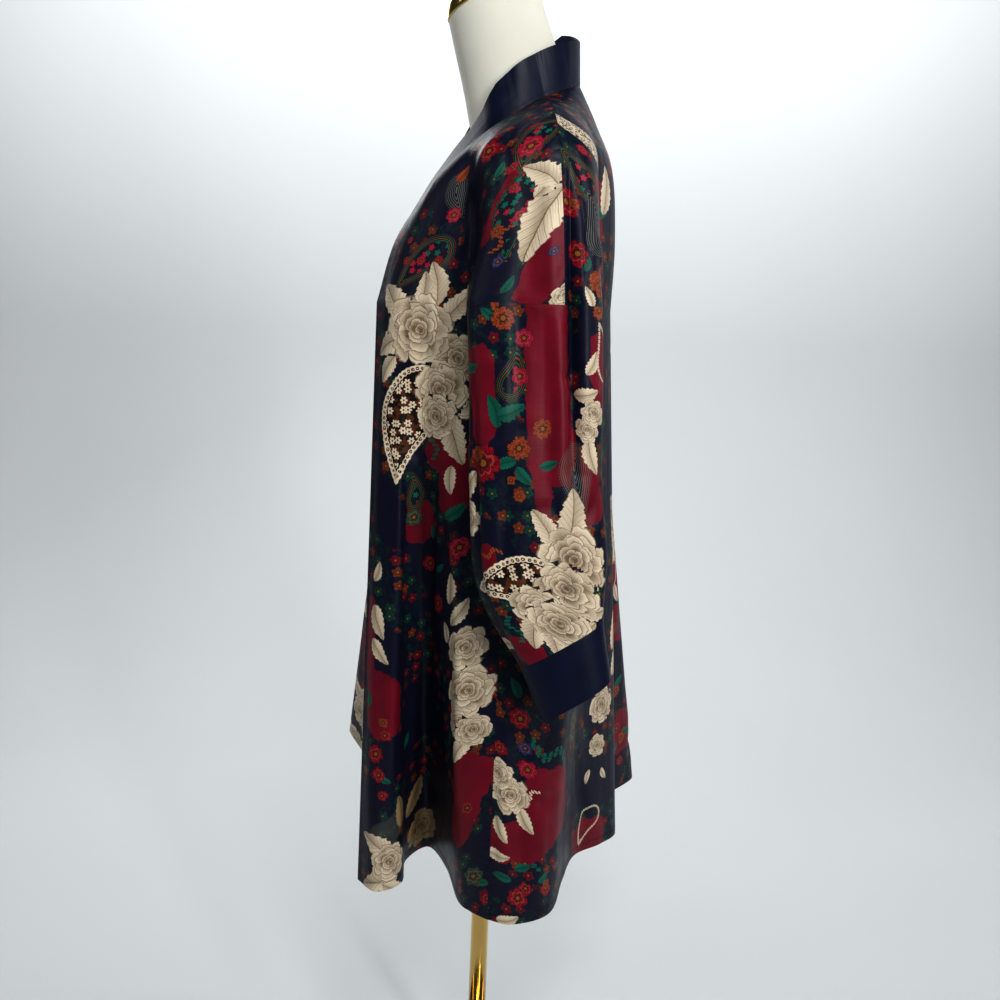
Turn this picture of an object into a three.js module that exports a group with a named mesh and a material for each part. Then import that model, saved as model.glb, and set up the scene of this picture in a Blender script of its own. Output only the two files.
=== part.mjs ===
// Kimono robe on a limbless dress form. Millimetres, +Z up, the wearer faces -Y and the wearer's left is +X.
// The origin is the middle of the stand's underside, where the part rests on the floor.
import * as THREE from 'three';

// Driving sizes of the robe
const WALL = 1.6;
const SEAM_GAP = 0.3;
const HEM_Z = 430;
const ARMHOLE_Z = 1215;
const BODY_SIDE = 151.5;
const BAND_WIDTH = 57;

// Driving sizes of the stand
const BASE_RADIUS = 170;
const BASE_HEIGHT = 12;
const POLE_RADIUS = 13;
const FORM_BOTTOM_Z = 832;
// The worn form sits this far behind the pole's axis
const WORN_OFFSET_Y = 6;

// Mesh counts
const SKIRT_ROWS = 11;
const YOKE_ROWS = 8;
const STEPS_PER_FOLD = 2;
const BAND_STEPS = 3;
const FORM_SIDES = 32;
const ROUND_SIDES = 32;

const COLOURS = {
  print: { color: 0x241a2c, roughness: 0.35, metalness: 0 },
  satin: { color: 0x141c38, roughness: 0.3, metalness: 0 },
  jersey: { color: 0xece9e2, roughness: 0.9, metalness: 0 },
  gold: { color: 0xc7b283, roughness: 0.35, metalness: 1 },
};

// The skirt of each panel, a row for each fold line: where it meets the hem, where it starts at chest height,
// how late the fold opens on its way down, and how far the hem is lifted there.
const LEFT_FRONT = [
  { fold: 'band seam', hem: [118, -176], chest: [88, -168], late: 1.0, lift: 0 },
  { fold: 'front lobe', hem: [147, -148], chest: [117, -152], late: 1.2, lift: 0 },
  { fold: 'lobe back', hem: [122, -116], chest: [133, -136], late: 1.3, lift: 0 },
  { fold: 'fold mouth', hem: [62, -116], chest: [139, -122], late: 1.3, lift: 0 },
  { fold: 'fold bottom', hem: [20, -86], chest: [143, -107], late: 1.3, lift: 0 },
  { fold: 'fold back', hem: [78, -56], chest: [147, -91], late: 1.3, lift: 0 },
  { fold: 'side lobe front', hem: [160, -36], chest: [150, -72], late: 1.3, lift: 0 },
  { fold: 'front armhole corner', hem: [186, -18], chest: [BODY_SIDE, -50], late: 1.2, lift: 0 },
  { fold: 'side seam', hem: [203, 4], chest: [BODY_SIDE, 8], late: 1.2, lift: 0 },
];
const BACK = [
  LEFT_FRONT[LEFT_FRONT.length - 1],
  { fold: 'side lobe crown', hem: [212, 38], chest: [BODY_SIDE, 44], late: 1.2, lift: 0 },
  { fold: 'back armhole corner', hem: [182, 86], chest: [150, 96], late: 1.2, lift: 0 },
  { fold: 'back fold mouth', hem: [99, 107], chest: [139, 112], late: 1.3, lift: 0 },
  { fold: 'back fold bottom', hem: [30, 128], chest: [117, 122], late: 1.3, lift: 0 },
  { fold: 'middle lobe side', hem: [-8, 170], chest: [84, 131], late: 1.1, lift: 0 },
  { fold: 'middle lobe', hem: [-48, 197], chest: [42, 137], late: 1.0, lift: 0 },
  { fold: 'middle hollow', hem: [-104, 172], chest: [0, 139], late: 1.2, lift: 0 },
  { fold: 'far lobe mouth', hem: [-168, 192], chest: [-42, 137], late: 1.1, lift: 0 },
  { fold: 'far lobe crown', hem: [-240, 247], chest: [-88, 131], late: 1.0, lift: 4 },
  { fold: 'far lobe side', hem: [-270, 206], chest: [-124, 119], late: 1.2, lift: 4 },
  { fold: 'far back fold', hem: [-226, 146], chest: [-141, 110], late: 1.4, lift: 0 },
  { fold: 'far back armhole corner', hem: [-262, 96], chest: [-150, 96], late: 1.5, lift: 0 },
  { fold: 'far side crown', hem: [-280, 44], chest: [-BODY_SIDE, 44], late: 1.6, lift: 4 },
  { fold: 'far side seam', hem: [-262, 2], chest: [-BODY_SIDE, 8], late: 1.6, lift: 4 },
];
const RIGHT_FRONT = [
  BACK[BACK.length - 1],
  { fold: 'far front armhole corner', hem: [-232, -40], chest: [-BODY_SIDE, -50], late: 1.6, lift: 4 },
  { fold: 'far front fold', hem: [-220, -98], chest: [-148, -84], late: 1.5, lift: 10 },
  { fold: 'far front lobe side', hem: [-286, -180], chest: [-141, -116], late: 1.2, lift: 34 },
  { fold: 'far front lobe crown', hem: [-290, -250], chest: [-127, -142], late: 0.85, lift: 52 },
  { fold: 'front hollow', hem: [-222, -212], chest: [-109, -157], late: 1.1, lift: 26 },
  { fold: 'far band seam', hem: [-150, -203], chest: [-88, -168], late: 1.0, lift: 4 },
];

// The yoke over the shoulders, a row for each section from chest height up to the neck seam. A section runs from
// the band seam (front) or the middle of the back, past a corner, to the shoulder seam.
const FRONT_YOKE = [
  { rise: 0.0, inner: [88, -168, 1215], corner: [208, -96, 1215], shoulder: [236, 66, 1215], fold: 0 },
  { rise: 0.3, inner: [90, -146, 1292], corner: [205, -78, 1300], shoulder: [231, 60, 1312], fold: 17 },
  { rise: 0.55, inner: [93, -110, 1346], corner: [193, -84, 1386], shoulder: [206, 52, 1402], fold: 8 },
  { rise: 0.78, inner: [95, -78, 1380], corner: [140, -56, 1426], shoulder: [150, 45, 1449], fold: 1 },
  { rise: 1.0, inner: [95, -50, 1406], corner: [98, -4, 1454], shoulder: [72, 37, 1478], fold: 0 },
];
const BACK_YOKE = [
  { rise: 0.0, inner: [0, 139, 1215], corner: [190, 146, 1215], shoulder: [236, 66, 1215], fold: 0 },
  { rise: 0.3, inner: [0, 140, 1302], corner: [206, 140, 1302], shoulder: [231, 60, 1312], fold: 14 },
  { rise: 0.55, inner: [0, 131, 1392], corner: [176, 134, 1386], shoulder: [206, 52, 1402], fold: 5 },
  { rise: 0.78, inner: [0, 110, 1456], corner: [130, 106, 1438], shoulder: [150, 45, 1449], fold: 1 },
  { rise: 1.0, inner: [0, 85, 1508], corner: [60, 82, 1500], shoulder: [72, 37, 1478], fold: 0 },
];
const YOKE_FOLD = { front: { at: 0.52, width: 0.13 }, back: { at: 0.5, width: 0.13 } };
// How far the far side of the neckline stands above the near side
const FAR_NECK_LIFT = 34;
const FAR_NECK_LIFT_FADE = 50;
const YOKE_DENT_SLANT = 0.35;

// Sections of the hanging sleeves, a row for each height. slope tips a section, lower at the front.
const LEFT_SLEEVE = [
  { z: 1215, x: 195.5, y: 32, halfX: 41.5, halfY: 80, slope: 0 },
  { z: 1110, x: 203, y: 38, halfX: 42, halfY: 79, slope: 0 },
  { z: 1000, x: 211, y: 42, halfX: 41, halfY: 79, slope: 0.05 },
  { z: 900, x: 217, y: 54, halfX: 40, halfY: 77, slope: 0.3 },
  { z: 816, x: 224, y: 80, halfX: 39, halfY: 50, slope: 0.62 },
  { z: 748, x: 229, y: 100, halfX: 38, halfY: 42, slope: 0.65 },
];
const RIGHT_SLEEVE = [
  { z: 1215, x: 195.5, y: 32, halfX: 41.5, halfY: 80, slope: 0 },
  { z: 1110, x: 203, y: 33, halfX: 42, halfY: 79, slope: 0 },
  { z: 1000, x: 214, y: 32, halfX: 42, halfY: 79, slope: 0.05 },
  { z: 900, x: 229, y: 34, halfX: 41, halfY: 74, slope: 0.2 },
  { z: 812, x: 247, y: 42, halfX: 40, halfY: 56, slope: 0.4 },
  { z: 745, x: 260, y: 48, halfX: 38, halfY: 48, slope: 0.42 },
];
const CUFF_SEAM_ROW = 4;
const SLEEVE_SQUARENESS = 0.7;
const SLEEVE_FOLDS = [
  { at: 27, width: 6.5, depth: 19, top: 1400, bottom: 985 },
  { at: -8, width: 7, depth: 6, top: 1400, bottom: 1060 },
  { at: -62, width: 9, depth: 7, top: 1130, bottom: 800 },
];
// Degrees round the sleeve: the front lip from the body to the overarm, the back lip, and the side next the body
const SLEEVE_FRONT_ANGLES = [-105, -90, -74, -62, -48, -34, -20, -8, 5, 17];
const SLEEVE_BACK_ANGLES = [22, 27, 33, 42, 56, 72, 90, 105];
const SLEEVE_INNER_ANGLES = [122, 140, 160, 180, 200, 220, 238];
const SLEEVE_ROWS = 10;
const CUFF_ROWS = 2;

// The front band and collar: the vector across the band from its seam to its free edge
const BAND_ACROSS = [
  { place: 'hem', along: 0, across: [-1, 0.02, 0] },
  { place: 'bust', along: 1, across: [-1, 0.02, 0.02] },
  { place: 'collar bone', along: 2, across: [-0.76, -0.1, 0.6] },
  { place: 'neck side', along: 3, across: [-0.17, -0.24, 0.95] },
  { place: 'middle of the back', along: 4, across: [0, -0.05, 1] },
];

// Sections of the dress form's body, a row for each height
const FORM = [
  { z: FORM_BOTTOM_Z, halfX: 120, front: -66, back: 72 },
  { z: 838, halfX: 141, front: -86, back: 90 },
  { z: 862, halfX: 151, front: -98, back: 104 },
  { z: 920, halfX: 153, front: -105, back: 112 },
  { z: 990, halfX: 138, front: -99, back: 100 },
  { z: 1060, halfX: 118, front: -92, back: 86 },
  { z: 1130, halfX: 128, front: -112, back: 96 },
  { z: 1190, halfX: 138, front: -140, back: 112 },
  { z: 1235, halfX: 142, front: -150, back: 122 },
  { z: 1285, halfX: 150, front: -140, back: 127 },
  { z: 1335, halfX: 166, front: -108, back: 125 },
  { z: 1375, halfX: 176, front: -82, back: 119 },
  { z: 1402, halfX: 181, front: -58, back: 112 },
  { z: 1422, halfX: 173, front: -41, back: 104 },
  { z: 1438, halfX: 154, front: -24, back: 96 },
  { z: 1450, halfX: 128, front: -8, back: 88 },
  { z: 1461, halfX: 100, front: 5, back: 78 },
  { z: 1473, halfX: 74, front: 14, back: 65 },
  { z: 1504, halfX: 50, front: -40, back: 48 },
  { z: 1540, halfX: 46, front: -40, back: 36 },
];
const BODY_SQUARENESS = 0.9;
// Sections of its neck, which leans forward as it rises out of the shoulders
const NECK = [
  { z: FORM_BOTTOM_Z, halfX: 20, front: -20, back: 20 },
  { z: 1335, halfX: 44, front: -34, back: 84 },
  { z: 1402, halfX: 70, front: -50, back: 86 },
  { z: 1455, halfX: 65.5, front: -60, back: 78 },
  { z: 1504, halfX: 59, front: -71, back: 67 },
  { z: 1560, halfX: 57, front: -86, back: 52 },
];
const NECK_TOP = { z: 1610, y: -35, halfX: 55, halfY: 57, slope: 0.44 };
const CAP_HEIGHT = 16;
const CAP_DOME = 9;
const CAP_OVERHANG = 1.5;
const CAP_DOME_RINGS = [{ rise: 0.7, grow: -12 }, { rise: 1, grow: -34 }];
const STAND_GAP = 0.3;
const HUB = { radius: 24, height: 26, bevel: 4 };
const BASE_BEVEL = { side: 4, drop: 3, foot: 1.5 };
// How tightly the form's outline follows the wider of its two ovals, and the search for how far an oval reaches
const OUTLINE_SHARPNESS = 9;
const REACH_SEARCH = { start: 128, end: 0.01 };

const vec = (values) => new THREE.Vector3(values[0], values[1], values[2] ?? 0);
const mix = (a, b, t) => a + (b - a) * t;

// A smooth curve through equally spaced points or numbers, read at place u from 0 to points.length - 1
function through(points, u) {
  const last = points.length - 1;
  const i = Math.min(Math.floor(u), last - 1);
  const t = u - i;
  const p1 = points[i];
  const p2 = points[i + 1];
  const p0 = points[i - 1] ?? p1.map((value, k) => 2 * value - p2[k]);
  const p3 = points[i + 2] ?? p2.map((value, k) => 2 * value - p1[k]);
  return p1.map((value, k) => {
    const slope1 = (p2[k] - p0[k]) / 2;
    const slope2 = (p3[k] - value) / 2;
    return (2 * t ** 3 - 3 * t ** 2 + 1) * value + (t ** 3 - 2 * t ** 2 + t) * slope1
      + (3 * t ** 2 - 2 * t ** 3) * p2[k] + (t ** 3 - t ** 2) * slope2;
  });
}

// The place along a table where its key column has the given value
function placeOf(rows, key, value) {
  const rising = rows[rows.length - 1][key] > rows[0][key];
  const past = rows.findIndex((row) => (rising ? row[key] >= value : row[key] <= value));
  const i = Math.max(1, past < 0 ? rows.length - 1 : past);
  return i - 1 + THREE.MathUtils.clamp((value - rows[i - 1][key]) / (rows[i][key] - rows[i - 1][key]), 0, 1);
}

const bell = (distance, width) => Math.exp(-((distance / width) ** 2));

// A point of a panel's skirt: column along its fold lines, drop 0 at chest height and 1 at the hem
function skirtPoint(folds, column, drop) {
  const chest = through(folds.map((row) => row.chest), column);
  const hem = through(folds.map((row) => [...row.hem, row.lift]), column);
  const late = through(folds.map((row) => [row.late]), column)[0];
  const open = drop ** late;
  const z = mix(ARMHOLE_Z, HEM_Z + hem[2], drop);
  return vec([mix(chest[0], hem[0], open), mix(chest[1], hem[1], open), z]);
}

// A point of a sleeve, before it is mirrored for the right side
function sleevePoint(sections, degrees, place) {
  const keys = ['z', 'x', 'y', 'halfX', 'halfY', 'slope'];
  const [z, x, y, halfX, halfY, slope] = through(sections.map((row) => keys.map((key) => row[key])), place);
  const angle = THREE.MathUtils.degToRad(degrees);
  const squared = (value) => Math.sign(value) * Math.abs(value) ** SLEEVE_SQUARENESS;
  let inward = 0;
  for (const fold of SLEEVE_FOLDS) {
    const middle = (fold.top + fold.bottom) / 2;
    const reach = (fold.top - fold.bottom) / 2;
    const fade = Math.max(0, 1 - ((z - middle) / reach) ** 2);
    inward += fold.depth * fade * bell(degrees - fold.at, fold.width);
  }
  const outX = squared(Math.cos(angle));
  const outY = squared(Math.sin(angle));
  const px = x + (halfX - inward) * outX;
  const py = y + (halfY - inward * Math.abs(Math.sin(angle))) * outY;
  return vec([px, py, z + slope * (py - y)]);
}

// A section of the yoke at a height between its table rows, from inner edge (0) to shoulder seam (1)
function yokePoint(rows, fold, along, place) {
  const [inner, corner, shoulder] = ['inner', 'corner', 'shoulder'].map((key) => (
    vec(through(rows.map((row) => row[key]), place))));
  const depth = through(rows.map((row) => [row.fold]), place)[0];
  const point = inner.multiplyScalar((1 - along) ** 2)
    .addScaledVector(corner, 2 * along * (1 - along)).addScaledVector(shoulder, along ** 2);
  const dent = depth * bell(along - fold.at, fold.width);
  const towardBack = rows === FRONT_YOKE ? YOKE_DENT_SLANT : -YOKE_DENT_SLANT;
  return point.add(vec([-dent, dent * towardBack, 0]));
}

const mirrored = (point) => vec([-point.x, point.y, point.z]);

// Rows of yoke points above a bottom row. The bottom row's own shape fades out on the way up.
function yokeRows(rows, fold, bottom, alongs, farSide) {
  const grid = [bottom];
  for (let step = 1; step <= YOKE_ROWS; step += 1) {
    const rise = step / YOKE_ROWS;
    const place = placeOf(rows, 'rise', rise);
    const keep = (1 - rise) ** 2;
    grid.push(alongs.map((along, i) => {
      const flat = yokePoint(rows, fold, along, 0);
      const point = yokePoint(rows, fold, along, place);
      const side = farSide ? -1 : 1;
      if (farSide) point.z += FAR_NECK_LIFT * rise ** 3 * Math.min(1, Math.abs(point.x) / FAR_NECK_LIFT_FADE);
      point.x = side * point.x + keep * (bottom[i].x - side * flat.x);
      point.y += keep * (bottom[i].y - flat.y);
      point.z += keep * (bottom[i].z - flat.z);
      return point;
    }));
  }
  return grid;
}

// Skirt grid of a panel from chest height down to the hem, over part of its fold lines
function skirtGrid(folds, firstFold, lastFold) {
  const columns = (lastFold - firstFold) * STEPS_PER_FOLD;
  const grid = [];
  for (let row = 0; row <= SKIRT_ROWS; row += 1) {
    const line = [];
    for (let step = 0; step <= columns; step += 1) {
      line.push(skirtPoint(folds, firstFold + step / STEPS_PER_FOLD, row / SKIRT_ROWS));
    }
    grid.push(line);
  }
  return grid;
}

const lip = (angles, farSide) => angles.map((degrees) => {
  const point = sleevePoint(farSide ? RIGHT_SLEEVE : LEFT_SLEEVE, degrees, 0);
  return farSide ? mirrored(point) : point;
});

// Shares of a row's length at each of its points, so that a section takes the same spacing
function shares(points) {
  const lengths = [0];
  for (let i = 1; i < points.length; i += 1) {
    lengths.push(lengths[i - 1] + points[i].distanceTo(points[i - 1]));
  }
  return lengths.map((length) => length / lengths[lengths.length - 1]);
}

// A piece of cloth as quads between shared points. Points at the same place are one point.
class Cloth {
  constructor(name, finish) {
    this.name = name;
    this.finish = finish;
    this.points = [];
    this.quads = [];
    this.byPlace = new Map();
  }

  static place(point) {
    return point.toArray().map((value) => Math.round(value * 1000)).join(' ');
  }

  vertex(point) {
    const place = Cloth.place(point);
    if (!this.byPlace.has(place)) {
      this.byPlace.set(place, this.points.length);
      this.points.push(point);
    }
    return this.byPlace.get(place);
  }

  // Adds rows of points. flip turns the outside over.
  addGrid(rows, flip) {
    for (let r = 0; r + 1 < rows.length; r += 1) {
      for (let c = 0; c + 1 < rows[r].length; c += 1) {
        const quad = [rows[r][c], rows[r + 1][c], rows[r + 1][c + 1], rows[r][c + 1]].map((p) => this.vertex(p));
        this.quads.push(flip ? quad.reverse() : quad);
      }
    }
    return this;
  }

  // Boundary edges in the quads' own direction
  edges() {
    const inside = new Set(this.quads.flatMap((q) => q.map((v, i) => `${v} ${q[(i + 1) % 4]}`)));
    return this.quads.flatMap((q) => q.map((v, i) => [v, q[(i + 1) % 4]]))
      .filter(([a, b]) => !inside.has(`${b} ${a}`));
  }
}

// Outward directions at every place of the garment, shared by pieces that meet there
function sharedNormals(pieces) {
  const normals = new Map();
  for (const piece of pieces) {
    for (const quad of piece.quads) {
      const [a, b, c, d] = quad.map((v) => piece.points[v]);
      const normal = c.clone().sub(a).cross(d.clone().sub(b));
      for (const v of quad) {
        const place = Cloth.place(piece.points[v]);
        normals.set(place, (normals.get(place) ?? new THREE.Vector3()).add(normal));
      }
    }
  }
  for (const normal of normals.values()) normal.normalize();
  return normals;
}

// Boundary edges that two pieces share, which are the seams
function seamEdges(pieces) {
  const owners = new Map();
  for (const piece of pieces) {
    for (const edge of piece.edges()) {
      const key = edge.map((v) => Cloth.place(piece.points[v])).sort().join('|');
      owners.set(key, (owners.get(key) ?? 0) + 1);
    }
  }
  return owners;
}

// The closed wall of a piece, with its edges drawn back from the seams by half of the gap
function clothWall(piece, normals, seams) {
  const away = piece.points.map(() => []);
  const edges = piece.edges();
  for (const [a, b] of edges) {
    const key = [a, b].map((v) => Cloth.place(piece.points[v])).sort().join('|');
    if (seams.get(key) < 2) continue;
    for (const v of [a, b]) {
      const along = piece.points[b].clone().sub(piece.points[a]).normalize();
      away[v].push(normals.get(Cloth.place(piece.points[v])).clone().cross(along).normalize());
    }
  }
  const outer = [];
  const inner = [];
  piece.points.forEach((point, v) => {
    const normal = normals.get(Cloth.place(point));
    const moved = point.clone();
    if (away[v].length === 1) moved.addScaledVector(away[v][0], SEAM_GAP / 2);
    if (away[v].length > 1) {
      const share = Math.max(0.5, 1 + away[v][0].dot(away[v][1]));
      moved.addScaledVector(away[v][0].clone().add(away[v][1]), SEAM_GAP / 2 / share);
    }
    outer.push(moved.clone().addScaledVector(normal, WALL / 2));
    inner.push(moved.clone().addScaledVector(normal, -WALL / 2));
  });
  const count = piece.points.length;
  const index = [];
  for (const [a, b, c, d] of piece.quads) {
    index.push(a, b, c, a, c, d);
    index.push(count + a, count + c, count + b, count + a, count + d, count + c);
  }
  for (const [a, b] of edges) index.push(a, count + a, count + b, a, count + b, b);
  return solid([...outer, ...inner], index);
}

function solid(points, index) {
  const geometry = new THREE.BufferGeometry();
  geometry.setAttribute('position', new THREE.Float32BufferAttribute(points.flatMap((p) => p.toArray()), 3));
  geometry.setIndex(index);
  geometry.computeVertexNormals();
  return geometry;
}

// A closed loft through rings of equal count, each going anticlockwise seen from above
function loft(rings) {
  const sides = rings[0].length;
  const points = rings.flat();
  const index = [];
  for (let r = 0; r + 1 < rings.length; r += 1) {
    for (let s = 0; s < sides; s += 1) {
      const a = r * sides + s;
      const b = r * sides + ((s + 1) % sides);
      index.push(a, b, b + sides, a, b + sides, a + sides);
    }
  }
  const middle = (ring) => ring.reduce((sum, p) => sum.add(p), new THREE.Vector3()).divideScalar(sides);
  points.push(middle(rings[0]), middle(rings[rings.length - 1]));
  const top = (rings.length - 1) * sides;
  for (let s = 0; s < sides; s += 1) {
    const next = (s + 1) % sides;
    index.push(points.length - 2, next, s, points.length - 1, top + s, top + next);
  }
  return solid(points, index);
}

// How far an oval reaches from the middle (0, y) in the direction of an angle
function ovalReach(oval, y, angle, square) {
  const power = 2 / square;
  let reach = 0;
  for (let step = REACH_SEARCH.start; step > REACH_SEARCH.end; step /= 2) {
    const px = (reach + step) * Math.cos(angle) / oval.halfX;
    const py = (y + (reach + step) * Math.sin(angle) - oval.y) / oval.halfY;
    if (Math.abs(px) ** power + Math.abs(py) ** power < 1) reach += step;
  }
  return reach;
}

// A section of the form: the smooth outline round the body's oval and the neck's oval
function formRing(row) {
  const keys = ['halfX', 'front', 'back'];
  const [neckX, neckFront, neckBack] = through(NECK.map((each) => keys.map((key) => each[key])),
    placeOf(NECK, 'z', row.z));
  const body = { halfX: row.halfX, halfY: (row.back - row.front) / 2, y: (row.back + row.front) / 2 };
  const neck = { halfX: neckX, halfY: (neckBack - neckFront) / 2, y: (neckBack + neckFront) / 2 };
  const points = [];
  for (let i = 0; i < FORM_SIDES; i += 1) {
    const angle = (2 * Math.PI * i) / FORM_SIDES;
    const reaches = [ovalReach(body, neck.y, angle, BODY_SQUARENESS), ovalReach(neck, neck.y, angle, 1)];
    const reach = reaches.reduce((sum, each) => sum + each ** OUTLINE_SHARPNESS, 0) ** (1 / OUTLINE_SHARPNESS);
    points.push(vec([reach * Math.cos(angle), neck.y + reach * Math.sin(angle), row.z]));
  }
  return points;
}

// A tipped section at the top of the neck
function neckRing(lift, grow) {
  const points = [];
  for (let i = 0; i < FORM_SIDES; i += 1) {
    const angle = (2 * Math.PI * i) / FORM_SIDES;
    const outY = (NECK_TOP.halfY + grow) * Math.sin(angle);
    points.push(vec([(NECK_TOP.halfX + grow) * Math.cos(angle), NECK_TOP.y + outY,
      NECK_TOP.z + lift + NECK_TOP.slope * outY]));
  }
  return points;
}

function frontPanel(name, folds, farSide) {
  const piece = new Cloth(name, 'print');
  const table = farSide ? [...folds].reverse() : folds;
  const cornerFold = table.length - 2;
  const skirt = skirtGrid(table, 0, table.length - 1);
  const chest = skirt[0].slice(0, cornerFold * STEPS_PER_FOLD + 1);
  const bottom = [...chest, ...lip(SLEEVE_FRONT_ANGLES, farSide)];
  const yoke = yokeRows(FRONT_YOKE, YOKE_FOLD.front, bottom, shares(bottom), farSide);
  piece.addGrid(skirt, farSide).addGrid(yoke, !farSide);
  return { piece, skirt, yoke };
}

function backPanel(leftYoke, rightYoke) {
  const piece = new Cloth('back_panel', 'print');
  const middleFold = BACK.findIndex((row) => row.fold === 'middle hollow');
  const cornerFolds = [2, BACK.length - 3];
  const skirt = skirtGrid(BACK, 0, BACK.length - 1);
  piece.addGrid(skirt, false);
  const overarm = SLEEVE_FRONT_ANGLES.slice(-1);
  const necks = [];
  for (const farSide of [false, true]) {
    const corner = cornerFolds[farSide ? 1 : 0] * STEPS_PER_FOLD;
    const middle = middleFold * STEPS_PER_FOLD;
    const chest = farSide ? skirt[0].slice(middle, corner + 1) : skirt[0].slice(corner, middle + 1).reverse();
    const cap = lip([...SLEEVE_BACK_ANGLES].reverse().concat(overarm), farSide);
    const bottom = [...chest, ...cap];
    const yoke = yokeRows(BACK_YOKE, YOKE_FOLD.back, bottom, shares(bottom), farSide);
    const frontYoke = farSide ? rightYoke : leftYoke;
    yoke.forEach((row, r) => { row[row.length - 1] = frontYoke[r][frontYoke[r].length - 1]; });
    yoke.forEach((row) => { row[0].x = bottom[0].x; });
    piece.addGrid(yoke, farSide);
    necks.push(yoke[yoke.length - 1]);
  }
  return { piece, skirt, necks };
}

function sleevePieces(side, farSide) {
  const sections = farSide ? RIGHT_SLEEVE : LEFT_SLEEVE;
  const angles = [...SLEEVE_FRONT_ANGLES, ...SLEEVE_BACK_ANGLES, ...SLEEVE_INNER_ANGLES];
  const row = (place) => {
    const points = angles.map((degrees) => {
      const point = sleevePoint(sections, degrees, place);
      return farSide ? mirrored(point) : point;
    });
    return [...points, points[0]];
  };
  const span = (from, to, count) => Array.from({ length: count + 1 }, (_, i) => row(mix(from, to, i / count)));
  const sleeve = new Cloth(`sleeve_${side}`, 'print').addGrid(span(0, CUFF_SEAM_ROW, SLEEVE_ROWS), farSide);
  const cuff = new Cloth(`cuff_${side}`, 'satin').addGrid(span(CUFF_SEAM_ROW, CUFF_SEAM_ROW + 1, CUFF_ROWS), farSide);
  return [sleeve, cuff];
}

// One side of the band, from the hem up the front edge and round the neck to the middle of the back
function band(side, front, neck, farSide) {
  const hemToChest = front.skirt.map((row) => row[0]).reverse();
  const chestToCollar = front.yoke.map((row) => row[0]).slice(1);
  const collarToNeck = front.yoke[front.yoke.length - 1].slice(1);
  const neckToMiddle = [...neck].reverse().slice(1);
  const stretches = [hemToChest, chestToCollar, collarToNeck, neckToMiddle];
  const seam = [];
  stretches.forEach((points, stretch) => points.forEach((point, i) => {
    const first = stretch === 0 ? 0 : 1;
    seam.push({ point, along: stretch + (i + first) / (points.length - 1 + first) });
  }));
  const rows = seam.map(({ point, along }) => {
    const across = vec(through(BAND_ACROSS.map((row) => row.across), along)).setLength(BAND_WIDTH);
    if (farSide) across.x = -across.x;
    return Array.from({ length: BAND_STEPS + 1 }, (_, i) => (
      i === 0 ? point : point.clone().addScaledVector(across, i / BAND_STEPS)));
  });
  return new Cloth(`band_${side}`, 'satin').addGrid(rows, farSide);
}

function formSolids() {
  const torso = [...FORM.map(formRing), neckRing(0, 0)];
  const cap = [neckRing(STAND_GAP, CAP_OVERHANG), neckRing(STAND_GAP + CAP_HEIGHT, CAP_OVERHANG),
    ...CAP_DOME_RINGS.map(({ rise, grow }) => neckRing(STAND_GAP + CAP_HEIGHT + CAP_DOME * rise, grow))];
  return [['form_torso', 'jersey', loft(torso)], ['neck_cap', 'gold', loft(cap)]];
}

function standSolids() {
  const turned = (profile) => {
    const points = profile.map(([radius, z]) => new THREE.Vector2(radius, z));
    return new THREE.LatheGeometry(points, ROUND_SIDES).rotateX(Math.PI / 2);
  };
  const hubTop = BASE_HEIGHT + HUB.height;
  const base = turned([[0, 0], [BASE_RADIUS - BASE_BEVEL.foot, 0], [BASE_RADIUS, BASE_BEVEL.foot],
    [BASE_RADIUS, BASE_HEIGHT - BASE_BEVEL.drop], [BASE_RADIUS - BASE_BEVEL.side, BASE_HEIGHT],
    [HUB.radius, BASE_HEIGHT], [HUB.radius, hubTop - HUB.bevel], [HUB.radius - HUB.bevel, hubTop], [0, hubTop]]);
  const poleFoot = hubTop + STAND_GAP;
  const poleTop = FORM_BOTTOM_Z - STAND_GAP;
  const pole = turned([[0, poleFoot], [POLE_RADIUS, poleFoot], [POLE_RADIUS, poleTop], [0, poleTop]]);
  return [['stand_base', 'gold', base], ['stand_pole', 'gold', pole]];
}

const leftFront = frontPanel('front_panel_left', LEFT_FRONT, false);
const rightFront = frontPanel('front_panel_right', RIGHT_FRONT, true);
const back = backPanel(leftFront.yoke, rightFront.yoke);
const robePieces = [
  leftFront.piece,
  rightFront.piece,
  back.piece,
  ...sleevePieces('left', false),
  ...sleevePieces('right', true),
  band('left', leftFront, back.necks[0], false),
  band('right', rightFront, back.necks[1], true),
];

const group = new THREE.Group();
const worn = new THREE.Group();
worn.position.y = WORN_OFFSET_Y;
group.add(worn);

function addMesh(parent, name, finish, geometry) {
  const mesh = new THREE.Mesh(geometry, new THREE.MeshStandardMaterial(COLOURS[finish]));
  mesh.name = name;
  parent.add(mesh);
}

const normals = sharedNormals(robePieces);
const seams = seamEdges(robePieces);
for (const piece of robePieces) addMesh(worn, piece.name, piece.finish, clothWall(piece, normals, seams));
for (const [name, finish, geometry] of formSolids()) addMesh(worn, name, finish, geometry);
for (const [name, finish, geometry] of standSolids()) addMesh(group, name, finish, geometry);

export default group;
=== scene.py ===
"""A printed satin kimono robe on a limbless dress form, with its finishes, light and camera.

The cloth follows the same fold lines and sections as the solids. Lengths in the tables are millimetres.
"""
import logging
import math
from dataclasses import dataclass, field
from enum import Enum
from typing import Callable

import bpy
import numpy as np
from mathutils import Matrix, Vector
from mathutils.bvhtree import BVHTree
from mathutils.kdtree import KDTree


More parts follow.
